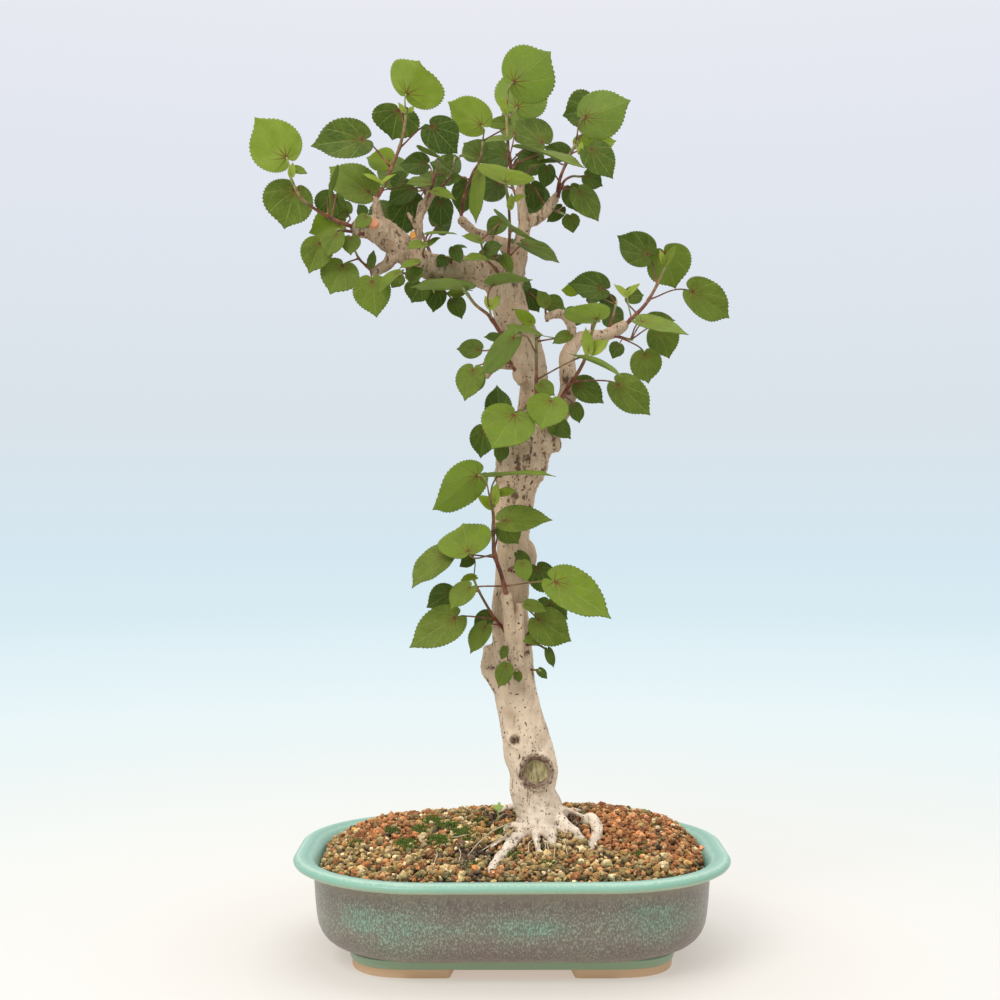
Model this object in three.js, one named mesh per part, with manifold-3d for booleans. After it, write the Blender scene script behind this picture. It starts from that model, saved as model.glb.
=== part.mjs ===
// A sea hibiscus grown as a bonsai in a glazed oval-cornered bowl. Millimetres, +Z up, front towards -Y.
// The origin is on the ground under the middle of the bowl.
import * as THREE from 'three';
import Module from 'manifold-3d';

const wasm = await Module();
wasm.setup();

// Driving dimensions of the bowl.
const BOWL_HALF_LENGTH = 163;
const BOWL_HALF_DEPTH = 123.5;
const BOWL_CORNER_RADIUS = 100;
const PLAN_STEPS = 5;
const FOOT_HEIGHT = 6;
const FOOT_INSET = 43.5;
const FOOT_WIDTH = 15;
const FOOT_GAP_FRONT = 42;
const FOOT_GAP_END = 26;
const DRAIN_RADIUS = 9;
const DRAIN_AT = [-62, 62];

// Driving dimensions of the soil.
const SOIL_CLEARANCE = 0.4;
const SOIL_EDGE_HEIGHT = 75;
const SOIL_END_DROP = 5;
const MOUND = { x: 12, y: 25, height: 20.5, reachX: 135, reachY: 70 };
const HUMP = { x: 92, y: 52, height: 5, reachX: 42, reachY: 42 };
const GRAIN_RELIEF = 1.6;
const SOIL_RINGS = [0.98, 0.83, 0.64, 0.43, 0.2];

// Driving dimensions of the leaves and their stems.
const BLADE_THICKNESS = 0.8;
const BLADE_FOLD = 0.17;
const BLADE_DROOP = 0.1;
const BLADE_WAVE = 0.035;
const TOOTH = 0.02;
const LARGE_LEAF = 26;
const SMALL_LEAF = 13;
const PETIOLE_RADIUS = 0.85;
const SMALL_PETIOLE_RADIUS = 0.65;
const STEM_SINK = 4;
const STEM_FACET = 1.2;
// A blade's corners, in degrees from its tip, on each side. The tip and the notch are corners too.
const LARGE_OUTLINE = [15, 38, 66, 98, 138];
const MEDIUM_OUTLINE = [26, 70, 126];
const SMALL_OUTLINE = [42, 112];
const HEART_WIDTH = 1.2;
const STALK_TURN = (2 * Math.PI) / 3;
const CLEARANCE = 0.35;
// Cutting and joining leave slivers: edges shorter than this, and facets narrower than this.
const SHORTEST_EDGE = 0.15;
const NARROWEST_FACET = 0.06;
const SLIDES = [0, -4, 4, -8, 8, -12, 12, -16, 16, -20, 20, -24, 24, -28, 28, -32, 32];

// Every place on the tree is written as it is seen from the front: across and up in the plane through
// the trunk, and the depth behind that plane. The eye is level, this far away and this high.
const EYE = { across: -8.9, distance: 1172, height: 342 };

function seen(across, up, depth) {
  const scale = (EYE.distance + depth) / EYE.distance;
  return new THREE.Vector3(
    EYE.across + (across - EYE.across) * scale,
    depth,
    EYE.height + (up - EYE.height) * scale,
  );
}

// Closed solids from corners and triangles, and back to a mesh.
function solidFrom(corners, triangles) {
  const vertProperties = new Float32Array(corners.flatMap((p) => [p.x, p.y, p.z]));
  const triVerts = new Uint32Array(triangles.flat());
  return new wasm.Manifold(new wasm.Mesh({ numProp: 3, vertProperties, triVerts }));
}

function geometryFrom(solid) {
  const mesh = solid.getMesh();
  const geometry = new THREE.BufferGeometry();
  geometry.setAttribute('position', new THREE.BufferAttribute(mesh.vertProperties.slice(), 3));
  geometry.setIndex(new THREE.BufferAttribute(mesh.triVerts.slice(), 1));
  geometry.computeVertexNormals();
  return geometry;
}

function fused(solids) {
  return wasm.Manifold.union(solids);
}

// The first edge that is too short to keep, where closing it up leaves the skin whole: its ends
// have just two neighbours in common.
function shortEdge(corners, triangles) {
  const neighbours = corners.map(() => new Set());
  triangles.forEach((triangle) => triangle.forEach((corner, k) => {
    neighbours[corner].add(triangle[(k + 1) % 3]);
    neighbours[corner].add(triangle[(k + 2) % 3]);
  }));
  for (const triangle of triangles) {
    for (let k = 0; k < 3; k += 1) {
      const [a, b] = [triangle[k], triangle[(k + 1) % 3]];
      const shared = [...neighbours[a]].filter((corner) => neighbours[b].has(corner));
      if (shared.length === 2 && corners[a].distanceTo(corners[b]) < SHORTEST_EDGE) return [a, b];
    }
  }
  return null;
}

// How far a facet's third corner stands from the edge between the other two.
function facetHeight(corners, [a, b, c]) {
  const base = corners[b].clone().sub(corners[a]);
  return corners[c].clone().sub(corners[a]).cross(base).length() / base.length();
}

// A narrow facet and its neighbour across its long edge, with the edge between them turned to run
// the other way, where that makes both of them wider. The facets change in place.
function turnLongEdges(corners, triangles) {
  const across = new Map();
  triangles.forEach((triangle, t) => triangle.forEach((corner, k) => {
    across.set(`${corner} ${triangle[(k + 1) % 3]}`, { t, far: triangle[(k + 2) % 3] });
  }));
  const turned = new Set();
  triangles.forEach((triangle, t) => triangle.forEach((a, k) => {
    const [b, c] = [triangle[(k + 1) % 3], triangle[(k + 2) % 3]];
    const other = across.get(`${b} ${a}`);
    if (turned.has(t) || turned.has(other.t)) return;
    if (facetHeight(corners, [a, b, c]) > NARROWEST_FACET) return;
    if (across.has(`${c} ${other.far}`) || across.has(`${other.far} ${c}`)) return;
    const fresh = [[a, other.far, c], [other.far, b, c]];
    const thinnest = Math.min(...fresh.map(([p, q, r]) => Math.min(
      facetHeight(corners, [p, q, r]),
      facetHeight(corners, [q, r, p]),
      facetHeight(corners, [r, p, q]),
    )));
    if (thinnest < 2 * NARROWEST_FACET) return;
    [triangles[t], triangles[other.t]] = fresh;
    turned.add(t).add(other.t);
  }));
}

// The solid without its slivers.
function welded(solid) {
  const { vertProperties, triVerts } = solid.getMesh();
  const corners = [];
  for (let i = 0; i < vertProperties.length; i += 3) {
    corners.push(new THREE.Vector3().fromArray(vertProperties, i));
  }
  let triangles = [];
  for (let i = 0; i < triVerts.length; i += 3) {
    triangles.push([...triVerts.slice(i, i + 3)]);
  }
  let edge = shortEdge(corners, triangles);
  while (edge) {
    const [kept, gone] = edge;
    triangles = triangles.map((triangle) => triangle.map((corner) => (corner === gone ? kept : corner)));
    triangles = triangles.filter(([a, b, c]) => a !== b && b !== c && c !== a);
    edge = shortEdge(corners, triangles);
  }
  turnLongEdges(corners, triangles);
  return solidFrom(corners, triangles);
}

// Rings of equal count, joined into a skin and closed at both ends. Each ring runs anticlockwise
// as seen from the end that the rings lead to.
function skinOf(rings) {
  const count = rings[0].length;
  const corners = rings.flat();
  const triangles = [];
  for (let r = 0; r + 1 < rings.length; r += 1) {
    for (let k = 0; k < count; k += 1) {
      const next = (k + 1) % count;
      const a = r * count + k;
      const b = r * count + next;
      triangles.push([a, b, b + count], [a, b + count, a + count]);
    }
  }
  const last = (rings.length - 1) * count;
  for (let k = 1; k + 1 < count; k += 1) {
    triangles.push([0, k + 1, k]);
    triangles.push([last, last + k, last + k + 1]);
  }
  return solidFrom(corners, triangles);
}

// A tapering limb through its points, with a radius at each. Flutes make the section uneven.
function limb(points, radii, sides, flutes = 0) {
  const rings = [];
  let across = null;
  points.forEach((point, i) => {
    const before = points[Math.max(i - 1, 0)];
    const after = points[Math.min(i + 1, points.length - 1)];
    const along = after.clone().sub(before).normalize();
    if (across === null) {
      const other = Math.abs(along.z) > 0.9 ? new THREE.Vector3(1, 0, 0) : new THREE.Vector3(0, 0, 1);
      across = other;
    }
    across = across.clone().addScaledVector(along, -across.dot(along)).normalize();
    const over = along.clone().cross(across);
    const ring = [];
    for (let k = 0; k < sides; k += 1) {
      const angle = (2 * Math.PI * k) / sides;
      const uneven = 1 + flutes * (Math.sin(3 * angle + 0.35 * i) + 0.6 * Math.sin(5 * angle - 0.5 * i));
      const radius = radii[i] * uneven;
      ring.push(
        point.clone()
          .addScaledVector(across, radius * Math.cos(angle))
          .addScaledVector(over, radius * Math.sin(angle)),
      );
    }
    rings.push(ring);
  });
  return skinOf(rings);
}

// The bowl's plan, a rectangle with wide round corners, drawn in from the rim by an inset.
function planRing(inset, heightAt) {
  const radius = Math.max(BOWL_CORNER_RADIUS - inset, 4);
  const cornerX = BOWL_HALF_LENGTH - inset - radius;
  const cornerY = BOWL_HALF_DEPTH - inset - radius;
  const ring = [];
  for (let quarter = 0; quarter < 4; quarter += 1) {
    const signX = quarter === 0 || quarter === 3 ? 1 : -1;
    const signY = quarter < 2 ? 1 : -1;
    for (let k = 0; k <= PLAN_STEPS; k += 1) {
      const angle = (Math.PI / 2) * (quarter + k / PLAN_STEPS);
      const x = signX * cornerX + radius * Math.cos(angle);
      const y = signY * cornerY + radius * Math.sin(angle);
      ring.push(new THREE.Vector3(x, y, heightAt(x, y)));
    }
  }
  return ring;
}

function box(width, depth, height, x, y, z) {
  const geometry = new THREE.BoxGeometry(width, depth, height);
  geometry.translate(x, y, z);
  return solidOfGeometry(geometry);
}

function solidOfGeometry(geometry) {
  const position = geometry.getAttribute('position');
  const index = geometry.getIndex();
  const keys = new Map();
  const corners = [];
  const renumber = [];
  for (let i = 0; i < position.count; i += 1) {
    const corner = new THREE.Vector3().fromBufferAttribute(position, i);
    const key = corner.toArray().map((value) => value.toFixed(4)).join(' ');
    if (!keys.has(key)) {
      keys.set(key, corners.length);
      corners.push(corner);
    }
    renumber.push(keys.get(key));
  }
  const triangles = [];
  for (let i = 0; i < index.count; i += 3) {
    const triangle = [0, 1, 2].map((k) => renumber[index.getX(i + k)]);
    if (new Set(triangle).size === 3) triangles.push(triangle);
  }
  return solidFrom(corners, triangles);
}

// The bowl: fired in one piece, with a rolled lip, four corner feet and two drainage holes.
// The outline is height and inset, from the middle of the underside round the lip to the inner floor.
const BOWL_OUTLINE = [
  [5.5, 60], [6, 43.5], [12.5, 42], [14.5, 33], [18, 25], [26, 18.5], [46, 16], [68.5, 14.5],
  [70.5, 2], [74, -0.6], [78, 4], [77, 13], [70, 18.5], [46, 23], [18, 35], [14.5, 50],
];

// The inner wall's inset at a height near the top of the soil.
function bowlInsetAt(height) {
  const wall = BOWL_OUTLINE.slice(-5, -2);
  const [upper, lower] = height > wall[1][0] ? [wall[0], wall[1]] : [wall[1], wall[2]];
  const share = (upper[0] - height) / (upper[0] - lower[0]);
  return upper[1] + share * (lower[1] - upper[1]);
}

function bowl() {
  const walls = skinOf(BOWL_OUTLINE.map(([height, inset]) => planRing(inset, () => height)));
  const footHeight = FOOT_HEIGHT + 1;
  const footRings = (inset) => [planRing(inset + 1.5, () => 0), planRing(inset, () => footHeight)];
  const outer = skinOf(footRings(FOOT_INSET));
  const footInside = FOOT_INSET + FOOT_WIDTH;
  const inner = skinOf([planRing(footInside, () => -1), planRing(footInside, () => 9)]);
  const wide = 2 * BOWL_HALF_LENGTH;
  const gapFront = box(2 * FOOT_GAP_FRONT, wide, 20, 0, 0, 0);
  const gapEnd = box(wide, 2 * FOOT_GAP_END, 20, 0, 0, 0);
  const feet = outer.subtract(inner).subtract(gapFront).subtract(gapEnd);
  const drains = DRAIN_AT.map((x) => {
    const drain = new THREE.CylinderGeometry(DRAIN_RADIUS, DRAIN_RADIUS, 30, 10);
    drain.rotateX(Math.PI / 2);
    drain.translate(x, 0, 10);
    return solidOfGeometry(drain);
  });
  return fused([walls, feet]).subtract(fused(drains));
}

// The soil: loose grains heaped round the trunk, lower at the rim, its top raised in grains by a formula.
function mound(hump, x, y) {
  const fallX = ((x - hump.x) / hump.reachX) ** 2;
  const fallY = ((y - hump.y) / hump.reachY) ** 2;
  return hump.height * Math.exp(-fallX - fallY);
}

function soilHeight(x, y) {
  const endDrop = SOIL_END_DROP * (x / (BOWL_HALF_LENGTH - 17)) ** 4;
  return SOIL_EDGE_HEIGHT - endDrop + mound(MOUND, x, y) + mound(HUMP, x, y);
}

function grainHeight(x, y) {
  const coarse = Math.sin(0.9 * x + 2.1 * Math.sin(0.31 * y)) * Math.sin(0.8 * y + 1.7 * Math.sin(0.27 * x));
  return soilHeight(x, y) + GRAIN_RELIEF * coarse;
}

function soil() {
  const below = [[15, 50.5], [18.4, 35.3], [46, 23.4], [68, 19.5]];
  const rings = below.map(([height, inset]) => planRing(inset + SOIL_CLEARANCE, () => height));
  const edge = planRing(bowlInsetAt(SOIL_EDGE_HEIGHT), () => 0).map((p, k) => {
    const height = soilHeight(p.x, p.y) - 1.5;
    return planRing(bowlInsetAt(height) + 3 * SOIL_CLEARANCE, () => height)[k];
  });
  rings.push(edge);
  SOIL_RINGS.forEach((share) => {
    rings.push(edge.map((p) => {
      const x = MOUND.x * (1 - share) + p.x * share;
      const y = p.y * share;
      return new THREE.Vector3(x, y, grainHeight(x, y));
    }));
  });
  return skinOf(rings);
}

// A root that lies on the soil is given as it is seen: its depth is where that sight line meets
// the ground, raised by a lift.
function onSoil(across, up, lift) {
  let near = -BOWL_HALF_DEPTH;
  let far = MOUND.y;
  for (let step = 0; step < 30; step += 1) {
    const depth = (near + far) / 2;
    const point = seen(across, up, depth);
    if (point.z > soilHeight(point.x, point.y) + lift) {
      near = depth;
    } else {
      far = depth;
    }
  }
  return near;
}

// The woody body: trunk, branches, pruned stubs, knobs and roots grown as one. Each limb is a list of
// places with a radius: across, up, depth, radius.
const TRUNK = [
  [20, 44, 4, 15], [21, 70, 2, 18], [22.5, 90, 1, 20], [21.5, 103, 0, 18], [16, 119, 0, 17],
  [16.5, 134, 0, 18.2], [12.5, 150, 0, 19], [8.5, 168, 0, 17.2], [3.5, 190, 0, 16], [1, 214, 0, 15.2],
  [0, 238, 0, 15], [-1.3, 258, 0, 13.8], [1, 281, 0, 13.4], [1.5, 310, 0, 12.2], [1.4, 328, 0, 14.4],
  [4.2, 350, 0, 14.6], [6, 361, 0, 18.6], [9, 371, 0, 20], [12.8, 381, 0, 17.4], [18, 394, 0, 18.8],
  [18, 403, 0, 16], [16, 416, -1, 11], [16, 437, -1, 11], [9, 462, 0, 13], [1.5, 480, 0, 13],
  [-4, 496, 0, 14], [-7, 509, -2, 13],
];
const LIMBS = {
  leader: [
    [-3, 503, 0, 9], [3, 518, 0, 7.5], [6.5, 531, 0, 5.8], [8, 546, 0, 5.4], [12, 555, 3, 4.8],
    [20, 558, 8, 4.4], [29, 567, 11, 4], [36, 577, 13, 3.4],
  ],
  leader_twig: [[9, 549, 0, 4.4], [8, 561, 0, 4], [7, 573, -1, 3.8], [7, 585, -1, 3.4]],
  rear_twig: [[3, 530, 2, 5], [-12, 541, 12, 4.4], [-28, 547, 21, 4.2], [-40, 558, 28, 3.6]],
  left_branch: [
    [-4, 508, 0, 12], [-19, 515, -6, 11], [-35, 518, -12, 10.5], [-50, 518.5, -18, 10.3],
    [-64, 521, -25, 10.5], [-78, 529, -32, 10.4], [-91, 540, -38, 10.2], [-104, 549, -46, 9.8],
    [-113, 551, -51, 8], [-122, 549, -55.5, 4.6],
  ],
  upright_stub: [[-101, 548, -45, 4.5], [-103, 562, -46, 3.7], [-104, 575, -47, 3.2]],
  leaning_stub: [
    [-74, 530, -30, 4.5], [-72, 546, -28, 3.8], [-70, 560, -25, 3.6], [-61.5, 578, -21, 3.2],
  ],
  thin_stub: [[-70, 528, -30, 2.4], [-73, 550, -35, 1.9], [-80, 563, -38, 1.6]],
  low_stub: [[-88, 533, -38, 5], [-98, 521, -40, 4.4], [-108, 517, -42, 3.6]],
  hook_stub: [
    [6, 447, 0, 4.6], [-3, 445.5, -4, 4.2], [-12, 446, -6, 4], [-17.5, 441, -6, 3.8], [-19, 433, -6, 3.2],
  ],
  right_branch: [
    [24, 394, 2, 10], [34, 405, 3, 9], [41, 417, 4, 7.2], [44, 430, 6, 7], [43.5, 441, 9, 6.6],
    [43, 453, 13, 6.4], [50, 464, 20, 6], [60, 467, 26, 5.4], [70, 468, 30, 5], [80, 472, 34, 4.6],
    [87, 477, 38, 3.8],
  ],
  pale_stub: [
    [46, 464, 15, 4], [46, 476, 11, 3.7], [40, 484, 8, 3.5], [33, 484.5, 7, 3.4], [25, 481.5, 6, 3],
  ],
  front_stub: [[8, 443, -6, 5], [5, 439, -12, 4.8], [9, 431, -15, 4.2]],
  pruned_left: [[2, 212, -11, 4.6], [0, 228, -17, 4.8], [-2, 250, -23, 4.6], [-4, 270, -29.5, 4.2]],
  pruned_right: [[6, 206, -12, 3.4], [5.5, 235, -15, 3.7], [6, 262, -17, 3.4]],
};
const ROOTS = {
  front_long: [
    [17, 98, -8, 8.5], [11, 89, -15, 5.4], [3, 80, null, 4.4], [-5, 70, null, 4], [-13, 60, null, 3.6],
    [-17, 53.5, null, 2.6],
  ],
  right_flare: [[33, 96, -6, 9], [42, 90, -14, 6.2], [50, 84, null, 4.2], [58, 78.5, null, 2.2]],
  loop: [
    [55, 93, 6, 3.6], [59, 98, 2, 4.2], [64.5, 94.5, -7, 4.6], [65.5, 86, -18, 4.4], [62.5, 78, -31, 4],
    [60, 70, null, 2.8],
  ],
  tie: [[28, 104, -4, 3], [40, 105.5, -6, 1.7], [49, 102, -3, 1.6], [59, 98, 2, 1.7]],
  left_low: [[15, 97, -8, 4], [5, 93, -13, 2.2], [-3, 88, null, 1.8], [-12, 79, null, 1.4]],
  front_buttress: [[25, 101, -11, 9], [28, 90, -19, 6.6], [31, 80, null, 4.2], [33, 71, null, 2]],
  rear_left: [[15, 100, 12, 8], [5, 101, 34, 4.6], [-10, 100.5, 60, 2.4]],
  rear_right: [[31, 100, 12, 8], [47, 101, 30, 4.6], [62, 100, 54, 2.4]],
};
const KNOBS = [
  { at: [-15.5, 216, -3], size: [10, 9.5, 16] },
  { at: [12, 300, 0], size: [7.6, 8.5, 12] },
];
const WOUNDS = [
  { at: [19, 134, -15.4], radius: 11.8, lip: 3.3, steps: 12 },
  { at: [3, 158, -15.6], radius: 4.9, lip: 2, steps: 8 },
];

function limbOf(rows, sides, flutes, extra) {
  const points = rows.map(([across, up, depth, radius]) => {
    const place = depth === null ? onSoil(across, up, 0.35 * radius) : depth;
    return seen(across, up, place);
  });
  const last = points.length - 1;
  const firstWay = points[0].clone().sub(points[1]).normalize();
  const lastWay = points[last].clone().sub(points[last - 1]).normalize();
  points[0].addScaledVector(firstWay, extra);
  points[last].addScaledVector(lastWay, extra);
  return limb(points, rows.map((row) => row[3] + extra), sides, flutes);
}

function lowWood(extra) {
  const roots = Object.values(ROOTS).map((rows) => limbOf(rows, 4, 0, extra));
  return fused([limbOf(TRUNK, 9, 0.04, extra), ...roots]);
}

function wood(extra) {
  const limbs = Object.entries(LIMBS).map(([name, rows]) => {
    const branch = name.endsWith('branch') || name === 'leader';
    return limbOf(rows, branch ? 7 : 4, branch ? 0.04 : 0, extra);
  });
  const knobs = KNOBS.map(({ at, size }) => {
    const knob = new THREE.IcosahedronGeometry(1, 1);
    const indexed = new THREE.BufferGeometry();
    indexed.setAttribute('position', knob.getAttribute('position'));
    indexed.setIndex([...Array(knob.getAttribute('position').count).keys()]);
    indexed.scale(...size.map((half) => half + extra));
    indexed.translate(...seen(...at).toArray());
    return solidOfGeometry(indexed);
  });
  const wounds = WOUNDS.map(({ at, radius, lip, steps }) => {
    const ring = new THREE.TorusGeometry(radius, lip + extra, 4, steps);
    ring.rotateX(Math.PI / 2);
    ring.translate(...seen(...at).toArray());
    return solidOfGeometry(ring);
  });
  return fused([lowWood(extra), ...limbs, ...knobs, ...wounds]);
}

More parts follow.
